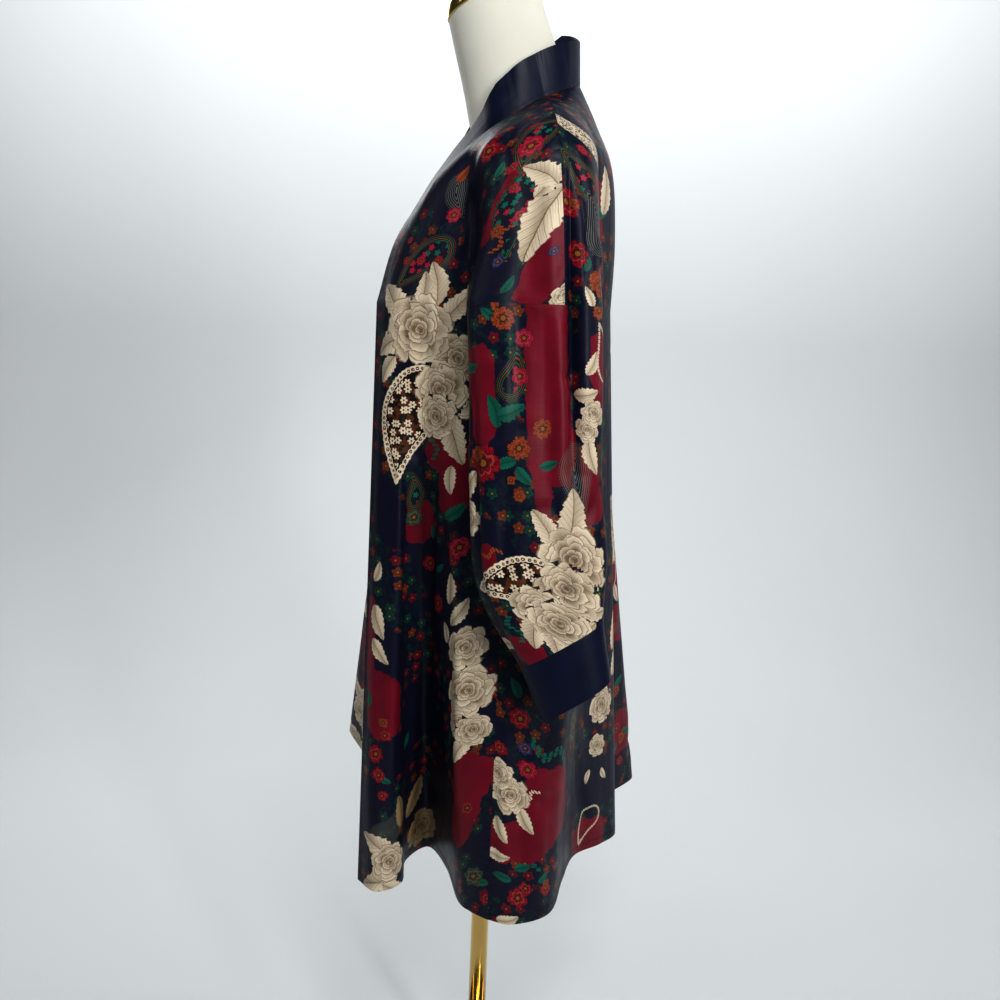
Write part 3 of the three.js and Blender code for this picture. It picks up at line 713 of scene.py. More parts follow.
# What shows in the photo, by pixel column and row. Later ones lie over earlier ones.
SEEN_MOTIFS = [
    *motifs(Kind.FEATHER_PAISLEY, Tone.MOSS, [
        (421, 261, 42, -153), (534, 142, 40, -100), (511, 215, 60, -95), (583, 172, 34, 100),
        (517, 376, 30, 60), (417, 494, 24, 80), (609, 470, 30, -80), (440, 420, 30, -70)]),
    *motifs(Kind.FEATHER_PAISLEY, Tone.GREY, [
        (602, 227, 42, 75), (574, 476, 40, -100), (394, 830, 36, 30), (455, 195, 26, -80)]),
    *motifs(Kind.VINE, Tone.TEAL, [
        (557, 757, 34, -25), (514, 629, 18, 100), (545, 715, 22, 70), (430, 445, 24, -80)]),
    *motifs(Kind.VINE, Tone.ORANGE, [(491, 554, 14, 20), (500, 240, 18, 80)]),
    *motifs(Kind.VINE, Tone.IVORY, [(531, 797, 14, 30)]),
    *motifs(*TEAL_LEAF, [
        (486, 313, 11, 140), (508, 287, 11, 80), (494, 410, 20, 110), (513, 412, 20, 25),
        (503, 465, 15, 200), (523, 476, 14, -45), (551, 464, 12, 20), (454, 511, 18, 40),
        (427, 531, 11, 100), (384, 780, 10, -30), (500, 877, 13, 170), (523, 870, 12, 10),
        (546, 877, 11, 30), (476, 512, 12, 60), (500, 168, 10, 90), (590, 262, 10, 60),
        (440, 632, 12, 120), (366, 700, 12, 90), (523, 786, 9, 80), (436, 566, 10, 40),
        (515, 690, 14, 100), (540, 868, 10, 150), (478, 885, 11, 200), (410, 740, 12, 60)]),
    *motifs(Kind.LEAF, Tone.ORANGE, [(463, 176, 12, 60), (494, 308, 13, 110)]),
    *motifs(Kind.FLOWER, Tone.RED, [
        (487, 151, 15, 0), (483, 463, 24, 10), (570, 199, 21, 0), (577, 256, 16, 0),
        (434, 603, 15, 0), (426, 566, 12, 20), (519, 720, 15, 0), (500, 746, 10, 0),
        (371, 754, 14, 0), (377, 774, 12, 10), (486, 900, 11, 0), (517, 897, 14, 20),
        (526, 891, 10, 0), (549, 889, 12, 0), (623, 763, 10, 0), (609, 597, 9, 0),
        (383, 797, 8, 0), (454, 560, 9, 0), (438, 262, 6, 0), (402, 262, 6, 0),
        (497, 690, 13, 0), (386, 735, 9, 0), (466, 808, 12, 0)]),
    *motifs(Kind.FLOWER, Tone.PINK, [
        (534, 144, 17, 0), (454, 214, 10, 0), (420, 262, 7, 0), (460, 549, 16, 15),
        (527, 771, 13, 0), (520, 376, 11, 0), (523, 338, 12, 0), (406, 240, 5, 0),
        (512, 165, 7, 0), (514, 190, 7, 0), (519, 216, 8, 0), (585, 150, 8, 0)]),
    *motifs(Kind.FLOWER, Tone.ORANGE, [
        (503, 319, 16, 0), (474, 455, 12, 0), (520, 447, 15, 10), (537, 430, 13, 0),
        (511, 481, 7, 0), (520, 496, 8, 0), (604, 284, 20, 0), (603, 313, 12, 0),
        (383, 722, 9, 0), (575, 205, 7, 0), (497, 232, 9, 0), (548, 885, 9, 0)]),
    *motifs(Kind.FLOWER, Tone.BLUE, [(526, 749, 10, 0), (497, 262, 8, 0), (553, 250, 7, 0)]),
    *motifs(Kind.FLOWER, Tone.MOSS, [(577, 729, 26, 0), (469, 877, 16, 0), (417, 520, 13, 0)]),
    *motifs(Kind.LOOP, Tone.IVORY, [(609, 354, 36, 85), (589, 826, 36, -140)]),
    *motifs(Kind.LACE, Tone.IVORY, [(583, 130, 52, -50), (617, 520, 40, -85)]),
    *motifs(Kind.DAISY_PAISLEY, Tone.IVORY, [(405, 420, 76, -124), (519, 580, 60, 172)]),
    *motifs(*IVORY_LEAF, [
        (388, 303, 34, 135), (389, 344, 34, 205), (436, 284, 29, 110), (457, 305, 29, 50),
        (423, 292, 25, 95), (456, 440, 34, -68), (450, 480, 19, -80), (384, 372, 22, 240),
        (546, 212, 58, -98), (537, 172, 29, 160), (552, 176, 25, 70), (610, 190, 31, 80),
        (590, 296, 13, 100), (586, 396, 18, 10), (594, 456, 22, -80), (594, 364, 16, 60),
        (571, 520, 36, 82), (544, 528, 27, 120), (590, 611, 25, -10), (536, 634, 25, -120),
        (583, 628, 19, 20), (556, 645, 20, -100), (447, 591, 22, 100), (459, 611, 22, 70),
        (441, 632, 16, 120), (461, 748, 25, -100), (373, 571, 15, 70), (374, 624, 25, -70),
        (376, 652, 21, -50), (377, 850, 31, 150), (379, 882, 31, 195), (398, 890, 22, -20),
        (500, 828, 18, -80), (526, 820, 19, -75), (498, 853, 17, -10), (506, 921, 16, 10),
        (617, 629, 31, 80), (619, 657, 29, 65), (591, 776, 12, -110), (606, 776, 12, -60)]),
    *motifs(Kind.LEAF, Tone.TAN, [(417, 797, 30, 65), (404, 812, 24, 100)]),
    *motifs(Kind.PEONY, Tone.TAN, [(424, 826, 32, 0)]),
    *motifs(Kind.PEONY, Tone.IVORY, [
        (419, 330, 47, 10), (456, 360, 34, 0), (458, 396, 34, 40), (439, 392, 39, 80),
        (436, 416, 31, 20), (569, 296, 17, 0), (597, 413, 18, 0), (589, 430, 17, 30),
        (573, 560, 43, 0), (566, 592, 35, 60), (539, 609, 31, 30), (560, 624, 31, 90),
        (464, 650, 32, 0), (466, 692, 39, 30), (454, 724, 23, 0), (472, 731, 26, 50),
        (499, 771, 21, 0), (509, 796, 27, 20), (393, 862, 29, 0), (606, 705, 31, 0),
        (601, 748, 20, 30)]),
]

# Where the cloth is maroon in the photo: pixel column and row, half widths in mm
SEEN_MAROON = [
    (500, 107, 40, 18), (547, 262, 26, 50), (551, 340, 25, 90), (560, 430, 26, 70), (478, 400, 18, 60),
    (545, 400, 20, 90), (454, 480, 24, 46), (437, 455, 26, 26), (606, 376, 20, 50), (595, 487, 15, 45),
    (380, 705, 30, 46), (368, 640, 10, 60), (466, 780, 30, 36), (455, 820, 24, 40), (560, 803, 46, 50),
    (517, 845, 50, 26), (523, 652, 22, 20), (623, 731, 16, 40), (589, 836, 40, 30), (420, 520, 20, 30),
    (500, 200, 9, 50), (545, 500, 10, 40), (535, 130, 18, 18), (488, 560, 10, 20),
]

# Soft troughs (+) and ridges (-) in the cloth: pixel column and row at each end, width and depth in mm
SEEN_CREASES = [
    (531, 200, 527, 300, 9, 2.6), (527, 300, 522, 440, 10, 2.2), (549, 150, 553, 300, 8, -2.0),
    (556, 310, 562, 470, 9, -2.6), (541, 310, 548, 520, 10, 2.0), (575, 150, 585, 300, 9, 2.6),
    (590, 220, 588, 330, 8, -2.0), (510, 320, 500, 430, 9, -1.8), (507, 470, 512, 600, 10, 2.0),
    (560, 500, 577, 610, 10, 1.8), (586, 520, 594, 640, 9, -1.6), (530, 560, 556, 660, 9, 1.8),
    (416, 260, 404, 430, 11, 2.2), (443, 250, 438, 420, 12, -2.4), (458, 300, 452, 470, 10, 2.6),
    (390, 330, 384, 560, 11, 1.8), (399, 480, 392, 800, 10, -2.4), (380, 560, 374, 840, 9, 2.0),
    (426, 480, 424, 700, 10, 2.4), (446, 500, 452, 800, 11, -2.4), (471, 540, 477, 850, 9, 2.4),
    (500, 720, 502, 890, 10, -2.2), (521, 730, 524, 900, 11, 2.6), (545, 740, 541, 900, 12, -2.2),
    (580, 720, 590, 830, 10, 2.4), (606, 470, 612, 760, 10, 2.2), (566, 150, 572, 290, 6, 1.8),
    (470, 190, 440, 250, 12, 2.2), (500, 130, 470, 200, 12, -2.2), (520, 120, 505, 200, 9, 1.8),
    (490, 350, 520, 372, 9, 1.3), (488, 440, 530, 425, 10, 1.4), (500, 520, 555, 505, 9, 1.3),
    (395, 300, 450, 330, 9, 1.0), (385, 440, 440, 470, 10, 1.2), (560, 380, 598, 372, 8, 1.2),
    (566, 470, 596, 480, 8, 1.3), (505, 790, 560, 800, 10, 1.2), (440, 560, 480, 590, 9, 1.1),
]
# Gives a maroon ground's field a half at its rim
HALF_LIFE = 0.69
# How a crease fades towards its ends, how high and wide its raised rims are, and how much it is deepened
CREASE_TAPER = 0.28
CREASE_END = 0.35
CREASE_RIM = 0.45
CREASE_RIM_WIDTH = 2.1
CREASE_STRENGTH = 2.4
# A crease less deep than this, in metres, needs no look at the form behind it
LEAST_CREASE = 0.0002
# In mm: the room that cloth keeps from the form, and how near a seam the creases start to fade
FORM_ROOM = 1.2
SEAM_REACH = 16.0
RIM_DEGREES = 62

# Clusters that fill the sides the photo hides: kind, tone, offset along and up in mm, half length, turn
BOUQUETS = [
    [(*IVORY_LEAF, 34, 26, 26, 40), (*IVORY_LEAF, -34, 22, 26, 140),
     (*IVORY_LEAF, 8, -44, 26, -80), (*IVORY_LEAF, -26, -34, 22, 230),
     (Kind.PEONY, Tone.IVORY, 26, -12, 26, 40), (Kind.PEONY, Tone.IVORY, 0, 4, 34, 0)],
    [(*TEAL_LEAF, 20, 14, 15, 30), (*TEAL_LEAF, -22, -8, 15, 200),
     (*TEAL_LEAF, 4, -24, 13, -70), (Kind.FLOWER, Tone.RED, -12, 10, 14, 0),
     (Kind.FLOWER, Tone.ORANGE, 12, -2, 13, 0), (Kind.FLOWER, Tone.PINK, -6, -14, 10, 0)],
    [(Kind.FEATHER_PAISLEY, Tone.MOSS, 0, 0, 44, 70), (Kind.FLOWER, Tone.RED, -10, 8, 9, 0),
     (Kind.FLOWER, Tone.ORANGE, 26, -30, 11, 0), (*TEAL_LEAF, 38, -22, 12, 10)],
    [(Kind.DAISY_PAISLEY, Tone.IVORY, 0, 0, 62, -105), (*IVORY_LEAF, 34, 34, 24, 60)],
    [(*TEAL_LEAF, 20, 12, 13, 30), (Kind.VINE, Tone.TEAL, 0, 0, 30, 40),
     (Kind.FLOWER, Tone.PINK, -16, -12, 12, 0), (Kind.FLOWER, Tone.BLUE, 14, -16, 9, 0)],
    [(Kind.LOOP, Tone.IVORY, 0, 0, 36, 80), (*IVORY_LEAF, 30, -20, 18, -30),
     (Kind.PEONY, Tone.IVORY, -24, -26, 16, 0)],
]
# The order of the clusters, their pitch, stray and clearance in mm, and their greatest turn in degrees
BOUQUET_ORDER = (0, 1, 2, 1, 3, 4, 1, 0, 2, 5, 1, 4)
BOUQUET_PITCH = 88.0
BOUQUET_JITTER = 16.0
BOUQUET_CLEAR = 34.0
BOUQUET_SPIN = 40
# Past this x, in metres, cloth that faces the camera shows in the photo
SHOWN_FROM_X = -0.03
# Least and greatest half widths of a maroon ground on the hidden sides, in mm
HIDDEN_MAROON_ACROSS = (24, 42)
HIDDEN_MAROON_ALONG = (28, 62)
PRINT_SEED = 11
# A point near a pixel counts by its depth in metres, and costs this for each pixel past the slack
PIXEL_SLACK = 5
PIXEL_COST = 0.05
PIXEL_TIE = 0.001
# The right side's creases are the left one's, moved and made wider and shallower
MIRROR_DROP = -14.0
MIRROR_SWAY = 9.0
MIRROR_SWAY_PITCH = 40
MIRROR_WIDER = 1.1
MIRROR_SHALLOWER = 0.9
# How far the back's mirrored creases are moved at each end, across and up in mm
BACK_MIRROR_START = (12, -20)
BACK_MIRROR_END = (6, -8)
# How far past its half length a motif is looked for
MOTIF_REACH = 1.6
# How far round a motif, in mm, the cloth carries its places, so that the shader draws its whole outline
PRINT_SPARE = 3.0


def paisley_outline() -> np.ndarray:
    """Draws a paisley of half length 1, round at -x with its tip bent up at +x.

    Returns:
        Points round it.
    """
    turn = np.linspace(0, 2 * math.pi, 161)
    x = np.cos(turn)
    y = PAISLEY_WIDTH * np.sin(turn) * np.abs(np.sin(turn / 2)) ** 0.9
    return np.stack([x, y + PAISLEY_BEND * np.maximum(0, x + 0.1) ** 2], -1)


def paisley_places(local: np.ndarray) -> tuple:
    """Measures places against the paisley's outline.

    Args:
        local: places in half lengths.

    Returns:
        How deep inside each is, and how far along the outline.
    """
    outline = paisley_outline()
    gaps = np.linalg.norm(local[:, None] - outline[None], axis=-1)
    nearest = gaps.argmin(axis=1)
    x = np.clip(local[:, 0], -1, 1)
    width = PAISLEY_WIDTH * np.sqrt(1 - x**2) * ((1 - x) / 2) ** 0.45
    offset = np.abs(local[:, 1] - PAISLEY_BEND * np.maximum(0, x + 0.1) ** 2)
    inside = (offset < width) & (np.abs(local[:, 0]) < 1)
    return np.where(inside, 1, -1) * gaps.min(axis=1), run_lengths(outline)[nearest]


def covered(motif: Motif, local: np.ndarray, spare_mm: float) -> np.ndarray:
    """Tells which places a motif covers.

    Args:
        motif: the motif.
        local: places in half lengths.
        spare_mm: how far past its outline counts too.

    Returns:
        True for each covered place.
    """
    spare = spare_mm / motif.size
    radius = np.linalg.norm(local, axis=1)
    if motif.kind in (Kind.PEONY, Kind.FLOWER):
        return radius < 1 + spare
    if motif.kind is Kind.LEAF:
        oval = np.maximum(0, 1 - local[:, 0] ** 2) ** LEAF_ROUND
        width = LEAF_WIDTH * oval * (1.1 - LEAF_BASE * local[:, 0])
        return (np.abs(local[:, 1]) < width + spare) & (np.abs(local[:, 0]) < 1 + spare)
    if motif.kind in PAISLEYS:
        near = np.flatnonzero(radius < MOTIF_REACH)
        found = np.zeros(len(local), bool)
        found[near] = paisley_places(local[near])[0] > -spare - 0.02 * spare_mm
        return found
    return (np.abs(local[:, 1]) < 0.5) & (np.abs(local[:, 0]) < 1)


class Print:
    """Lays the print's motifs, maroon grounds and creases over the pieces of cloth."""

    def __init__(self, robe: Robe, names: list) -> None:
        """Lays out what the photo shows, then the sides that it hides.

        Args:
            robe: the robe.
            names: the printed pieces.
        """
        self.robe = robe
        self.names = names
        self.points = {name: self.placed(name) for name in robe.pieces}
        self.pixels = {name: seen_at(points) for name, points in self.points.items()}
        self.motifs: dict = {name: [] for name in names}
        self.maroon: dict = {name: [] for name in names}
        self.creases: dict = {name: [] for name in robe.pieces}
        for motif in SEEN_MOTIFS:
            name, place = self.find(*motif.place)
            if name in self.motifs:
                self.motifs[name].append(Motif(motif.kind, motif.tone, tuple(place), motif.size, motif.turn))
        for column, row, half_u, half_v in SEEN_MAROON:
            name, place = self.find(column, row)
            if name in self.maroon:
                self.maroon[name].append((*place, half_u, half_v))
        for c1, r1, c2, r2, width, depth in SEEN_CREASES:
            name, start = self.find(c1, r1)
            other, end = self.find(c2, r2, name)
            self.creases[other].append((start, end, width, depth))
        self.mirror()
        self.fill()

    def placed(self, name: str) -> np.ndarray:
        """Gives a piece's points in the frame.

        Args:
            name: the piece.

        Returns:
            Places in metres.
        """
        return (self.robe.pieces[name].points + np.array([0, WORN_OFFSET_Y, 0])) * MM

    def find(self, column: float, row: float, only: str = "") -> tuple:
        """Finds the cloth at a pixel of the photo.

        Args:
            column, row: the pixel.
            only: a piece to keep to.

        Returns:
            The piece's name and the place on its flat cloth.
        """
        best = (math.inf, "", None)
        for name in ([only] if only else self.robe.pieces):
            pixels = self.pixels[name]
            off = np.hypot(pixels[:, 0] - column, pixels[:, 1] - row)
            score = np.maximum(off - PIXEL_SLACK, 0) * PIXEL_COST + pixels[:, 2] + off * PIXEL_TIE
            least = int(score.argmin())
            if score[least] < best[0]:
                best = (score[least], name, self.robe.pieces[name].cloth[least])
        return best[1], best[2]

    def mirror(self) -> None:
        """Gives the right side creases like the left one's."""
        for left, right in (("front_panel_left", "front_panel_right"), ("sleeve_left", "sleeve_right")):
            for start, end, width, depth in self.creases[left]:
                shift = np.array([MIRROR_SWAY * math.sin(start[1] / MIRROR_SWAY_PITCH), MIRROR_DROP])
                self.creases[right].append((start + shift, end + shift, width * MIRROR_WIDER,
                                            depth * MIRROR_SHALLOWER))
        across = np.array([-1, 1])
        back = self.creases["back_panel"]
        back += [(start * across + BACK_MIRROR_START, end * across + BACK_MIRROR_END, width, depth)
                 for start, end, width, depth in list(back)]

    def fill(self) -> None:
        """Sets clusters of motifs and maroon grounds on the sides that the photo hides."""
        dice = np.random.default_rng(PRINT_SEED)
        turn = 0
        for name in self.names:
            piece = self.robe.pieces[name]
            view = self.points[name] - np.array(CAMERA_PLACE)
            faces_photo = (self.robe.normals[name] * view).sum(axis=1) < 0
            shown = faces_photo & (self.points[name][:, 0] > SHOWN_FROM_X) & ("right" not in name)
            low, high = piece.cloth.min(axis=0), piece.cloth.max(axis=0)
            taken = [np.array(motif.place) for motif in self.motifs[name]]
            hidden_motifs, hidden_maroon = [], []
            for v in np.arange(low[1] + 30, high[1], BOUQUET_PITCH):
                odd = (turn % 2) * BOUQUET_PITCH / 2
                for u in np.arange(low[0] + odd, high[0], BOUQUET_PITCH):
                    turn += 1
                    centre = np.array([u, v]) + dice.uniform(-BOUQUET_JITTER, BOUQUET_JITTER, 2)
                    spin = dice.uniform(-BOUQUET_SPIN, BOUQUET_SPIN)
                    nearest = int(np.linalg.norm(piece.cloth - centre, axis=1).argmin())
                    if shown[nearest]:
                        continue
                    if any(np.linalg.norm(place - centre) < BOUQUET_CLEAR for place in taken):
                        continue
                    if turn % 3 != 1:
                        half_u = dice.uniform(*HIDDEN_MAROON_ACROSS)
                        hidden_maroon.append((*centre, half_u, dice.uniform(*HIDDEN_MAROON_ALONG)))
                    angle = math.radians(spin)
                    for kind, tone, du, dv, size, way in BOUQUETS[BOUQUET_ORDER[turn % len(BOUQUET_ORDER)]]:
                        offset = np.array([du * math.cos(angle) - dv * math.sin(angle),
                                           du * math.sin(angle) + dv * math.cos(angle)])
                        hidden_motifs.append(Motif(kind, tone, tuple(centre + offset), size, way + spin))
            self.motifs[name] = hidden_motifs + self.motifs[name]
            self.maroon[name] += hidden_maroon

    def maroon_field(self, name: str) -> np.ndarray:
        """Works out how far into a maroon ground each point is.

        Args:
            name: the piece.

        Returns:
            Above 0.5 where it is maroon.
        """
        cloth = self.robe.pieces[name].cloth
        total = np.zeros(len(cloth))
        for u, v, half_u, half_v in self.maroon[name]:
            away = np.abs((cloth[:, 0] - u) / half_u) ** 3 + np.abs((cloth[:, 1] - v) / half_v) ** 3
            total = np.maximum(total, np.exp(-HALF_LIFE * away))
        return total

    def crease_depth(self, name: str, seam_distance: np.ndarray) -> np.ndarray:
        """Works out how far the creases push each point in.

        Args:
            name: the piece.
            seam_distance: each point's distance from a seam.

        Returns:
            Millimetres inwards.
        """
        cloth = self.robe.pieces[name].cloth
        depth = np.zeros(len(cloth))
        for start, end, width, deep in self.creases[name]:
            way = end - start
            length = max(float(np.linalg.norm(way)), 1.0)
            along = (cloth - start) @ way / length**2
            side = np.abs((cloth - start) @ np.array([-way[1], way[0]]) / length)
            taper = np.clip(np.minimum(along, 1 - along) / CREASE_TAPER + CREASE_END, 0, 1)
            taper = taper**2 * (3 - 2 * taper)
            rims = CREASE_RIM * np.exp(-(side / (CREASE_RIM_WIDTH * width)) ** 2)
            profile = np.exp(-(side / width) ** 2) - rims
            depth += deep * CREASE_STRENGTH * taper * profile
        fade = np.clip(seam_distance / SEAM_REACH, 0, 1)
        return depth * fade * fade * (3 - 2 * fade)

    def corner_layers(self, name: str) -> list:
        """Works out the motif under each corner of each face, in each layer.

        Args:
            name: the piece.

        Returns:
            For each layer, rows of local x, local y and kind, and rows of depth, run and tone.
        """
        piece = self.robe.pieces[name]
        corners = piece.cloth[piece.quads]
        middles = corners.mean(axis=1)
        places = np.zeros((PRINT_LAYERS, len(piece.quads), 4, 3))
        extras = np.zeros((PRINT_LAYERS, len(piece.quads), 4, 3))
        for motif in self.motifs[name]:
            angle = math.radians(motif.turn)
            turned = np.array([[math.cos(angle), -math.sin(angle)], [math.sin(angle), math.cos(angle)]])
            away = np.linalg.norm(middles - np.array(motif.place), axis=1)
            near = np.flatnonzero(away < motif.size * MOTIF_REACH)
            local = (middles[near] - np.array(motif.place)) @ turned / motif.size
            chosen = near[covered(motif, local, PRINT_SPARE)]
            free = [k for k in motif.layers if not places[k][chosen, 0, 2].any()]
            layer = (free or motif.layers)[0]
            if not free:
                chosen = near[covered(motif, local, -PRINT_SPARE / 2)]
            spot = (corners[chosen] - np.array(motif.place)) @ turned / motif.size
            depth, run = np.zeros(spot.shape[:2]), np.zeros(spot.shape[:2])
            if motif.kind in PAISLEYS and len(chosen):
                deep, far = paisley_places(spot.reshape(-1, 2))
                depth, run = deep.reshape(-1, 4) * motif.size, far.reshape(-1, 4) * motif.size
            kind = np.full(spot.shape[:2], float(motif.kind.value))
            tone = np.full(spot.shape[:2], float(motif.tone.value))
            places[layer][chosen] = np.stack([spot[..., 0], spot[..., 1], kind], -1)
            extras[layer][chosen] = np.stack([depth, run, tone], -1)
        return [(places[k].reshape(-1, 3), extras[k].reshape(-1, 3)) for k in range(PRINT_LAYERS)]


class Field:
    """A number or colour inside a shader. Arithmetic on it adds nodes."""

    def __init__(self, tree: bpy.types.NodeTree, socket: bpy.types.NodeSocket) -> None:
        """Keeps the tree and the socket that the value comes out of."""
        self.tree = tree
        self.socket = socket

    def op(self, operation: str, *others: object, clamp: bool = False) -> "Field":
        """Adds a math node.

        Args:
            operation: its operation.
            others: the other inputs.
            clamp: keeps the result between 0 and 1.

        Returns:
            The result.
        """
        node = self.tree.nodes.new("ShaderNodeMath")
        node.operation = operation
        node.use_clamp = clamp
        for number, value in enumerate((self, *others)):
            feed(self.tree, node.inputs[number], value)
        return Field(self.tree, node.outputs[0])

    def __add__(self, other: object) -> "Field":
        """Adds a field or a number."""
        return self.op("ADD", other)

    def __sub__(self, other: object) -> "Field":
        """Takes away a field or a number."""
        return self.op("SUBTRACT", other)

    def __mul__(self, other: object) -> "Field":
        """Multiplies by a field or a number."""
        return self.op("MULTIPLY", other)

    def __truediv__(self, other: object) -> "Field":
        """Divides by a field or a number."""
        return self.op("DIVIDE", other)

    def __pow__(self, other: object) -> "Field":
        """Raises to a field or a number."""
        return self.op("POWER", other)

    def __abs__(self) -> "Field":
        """Drops the sign."""
        return self.op("ABSOLUTE")

    def flip(self) -> "Field":
        """One less this."""
        return self.op("MULTIPLY_ADD", -1.0, 1.0)

    def below(self, limit: float, soft: float = 0.02) -> "Field":
        """1 where this is less than a limit, with a soft step."""
        return self.op("MULTIPLY_ADD", -1.0 / soft, limit / soft + 0.5, clamp=True)

    def above(self, limit: float, soft: float = 0.02) -> "Field":
        """1 where this is more than a limit, with a soft step."""
        return self.op("MULTIPLY_ADD", 1.0 / soft, 0.5 - limit / soft, clamp=True)

    def near(self, value: float, half: float, soft: float = 0.02) -> "Field":
        """1 where this is within a half width of a value, with a soft step."""
        return abs(self - value).below(half, soft)


def feed(tree: bpy.types.NodeTree, socket: bpy.types.NodeSocket, value: object) -> None:
    """Links a field to a socket, or sets the socket's own value.

    Args:
        tree: the nodes that the socket belongs to.
        socket: the socket.
        value: a field, a number or a colour.
    """
    if isinstance(value, Field):
        tree.links.new(value.socket, socket)
    else:
        socket.default_value = value


class Painter:
    """Adds nodes to one material and hands back fields."""

    def __init__(self, name: str) -> None:
        """Starts the material.

        Args:
            name: its name.
        """
        self.material = bpy.data.materials.new(name)
        self.material.use_nodes = True
        self.tree = self.material.node_tree
        self.shader = self.tree.nodes["Principled BSDF"]

    def node(self, kind: str, inputs: dict, output: object = 0, **settings: object) -> Field:
        """Adds a node.

        Args:
            kind: the node's type.
            inputs: values or fields by socket name or number.
            output: the output's name or number.
            settings: the node's own settings.

        Returns:
            The output.
        """
        node = self.tree.nodes.new(kind)
        for key, value in settings.items():
            setattr(node, key, value)
        for key, value in inputs.items():
            feed(self.tree, node.inputs[key], value)
        return Field(self.tree, node.outputs[output])

    def attribute(self, name: str) -> Field:
        """Reads a vector stored on the mesh."""
        return self.node("ShaderNodeAttribute", {}, "Vector", attribute_name=name)

    def split(self, vector: Field) -> tuple:
        """Parts a vector into its three numbers.

        Args:
            vector: the vector.

        Returns:
            A field for each number.
        """
        node = self.tree.nodes.new("ShaderNodeSeparateXYZ")
        feed(self.tree, node.inputs[0], vector)
        return tuple(Field(self.tree, node.outputs[k]) for k in range(3))

    def join(self, x: object, y: object, z: object = 0.0) -> Field:
        """Makes a vector of three numbers."""
        return self.node("ShaderNodeCombineXYZ", {0: x, 1: y, 2: z})

    def mix(self, share: object, first: object, second: object) -> Field:
        """Blends from a first colour to a second one."""
        return self.node("ShaderNodeMix", {0: share, 6: first, 7: second}, 2, data_type="RGBA")

    def noise(self, vector: Field, scale: float, detail: float = 2.0) -> Field:
        """Reads soft noise, 0 to 1."""
        return self.node("ShaderNodeTexNoise", {"Vector": vector, "Scale": scale, "Detail": detail}, 0)

    def ramp(self, place: Field, colours: list) -> Field:
        """Picks a colour by whole number.

        Args:
            place: the number.
            colours: a colour for each number from 0.

        Returns:
            The colour.
        """
        node = self.tree.nodes.new("ShaderNodeValToRGB")
        node.color_ramp.interpolation = "CONSTANT"
        stops = node.color_ramp.elements
        while len(stops) < len(colours):
            stops.new(0.5)
        for number, colour in enumerate(colours):
            stops[number].position = number / len(colours)
            stops[number].color = colour
        feed(self.tree, node.inputs[0], (place + 0.5) * (1.0 / len(colours)))
        return Field(self.tree, node.outputs[0])

    def cells(self, vector: Field, size: float) -> tuple:
        """Scatters spots, one in each cell.

        Args:
            vector: places in mm.
            size: the cells' size in mm.

        Returns:
            Distance from the spot in cells, angle round it and a random colour.
        """
        node = self.tree.nodes.new("ShaderNodeTexVoronoi")
        node.voronoi_dimensions = "2D"
        feed(self.tree, node.inputs["Vector"], vector)
        feed(self.tree, node.inputs["Scale"], 1.0 / size)
        feed(self.tree, node.inputs["Randomness"], SCATTER)
        spot = Field(self.tree, node.outputs["Position"])
        gap = self.node("ShaderNodeVectorMath", {0: vector, 1: spot}, 0, operation="SUBTRACT")
        x, y, _ = self.split(gap)
        away, tint = (Field(self.tree, node.outputs[key]) for key in ("Distance", "Color"))
        return away, y.op("ARCTAN2", x), tint

    def use(self, group: "MotifGroup", fields: list) -> tuple:
        """Adds a motif's group and feeds it.

        Args:
            group: the group.
            fields: what its inputs take, in order.

        Returns:
            The motif's colour and where it covers.
        """
        node = self.tree.nodes.new("ShaderNodeGroup")
        node.node_tree = group.tree
        for number, value in enumerate(fields):
            feed(self.tree, node.inputs[number], value)
        return Field(self.tree, node.outputs[0]), Field(self.tree, node.outputs[1])

    def finish(self, **values: object) -> bpy.types.Material:
        """Feeds the shader by socket name, with spaces as underscores.

        Args:
            values: what each socket takes.

        Returns:
            The material.
        """
        for key, value in values.items():
            feed(self.tree, self.shader.inputs[key.replace("_", " ")], value)
        return self.material


@dataclass(frozen=True)
class Spot:
    """What a motif's group is told of a place. x and y are in half lengths, depth and run in mm."""

    x: Field
    y: Field
    depth: Field
    run: Field
    cloth: Field
    wobble: Field
    light: Field
    dark: Field
    tone: Field


class MotifGroup(Painter):
    """A group of nodes that paints one kind of motif."""

    SOCKETS = (("x", "Float"), ("y", "Float"), ("depth", "Float"), ("run", "Float"), ("cloth", "Vector"),
               ("wobble", "Float"), ("light", "Color"), ("dark", "Color"), ("tone", "Float"))

    def __init__(self, name: str, painted: Callable) -> None:
        """Makes the group's sockets and has its motif painted.

        Args:
            name: its name.
            painted: takes the group and a spot, and gives the motif's colour and where it covers.
        """
        self.tree = bpy.data.node_groups.new(name, "ShaderNodeTree")
        for key, kind in self.SOCKETS:
            self.tree.interface.new_socket(key, in_out="INPUT", socket_type=f"NodeSocket{kind}")
        for key, kind in (("colour", "Color"), ("share", "Float")):
            self.tree.interface.new_socket(key, in_out="OUTPUT", socket_type=f"NodeSocket{kind}")
        start = self.tree.nodes.new("NodeGroupInput")
        end = self.tree.nodes.new("NodeGroupOutput")
        spot = Spot(*[Field(self.tree, out) for out in start.outputs[:len(self.SOCKETS)]])
        for number, value in enumerate(painted(self, spot)):
            feed(self.tree, end.inputs[number], value)


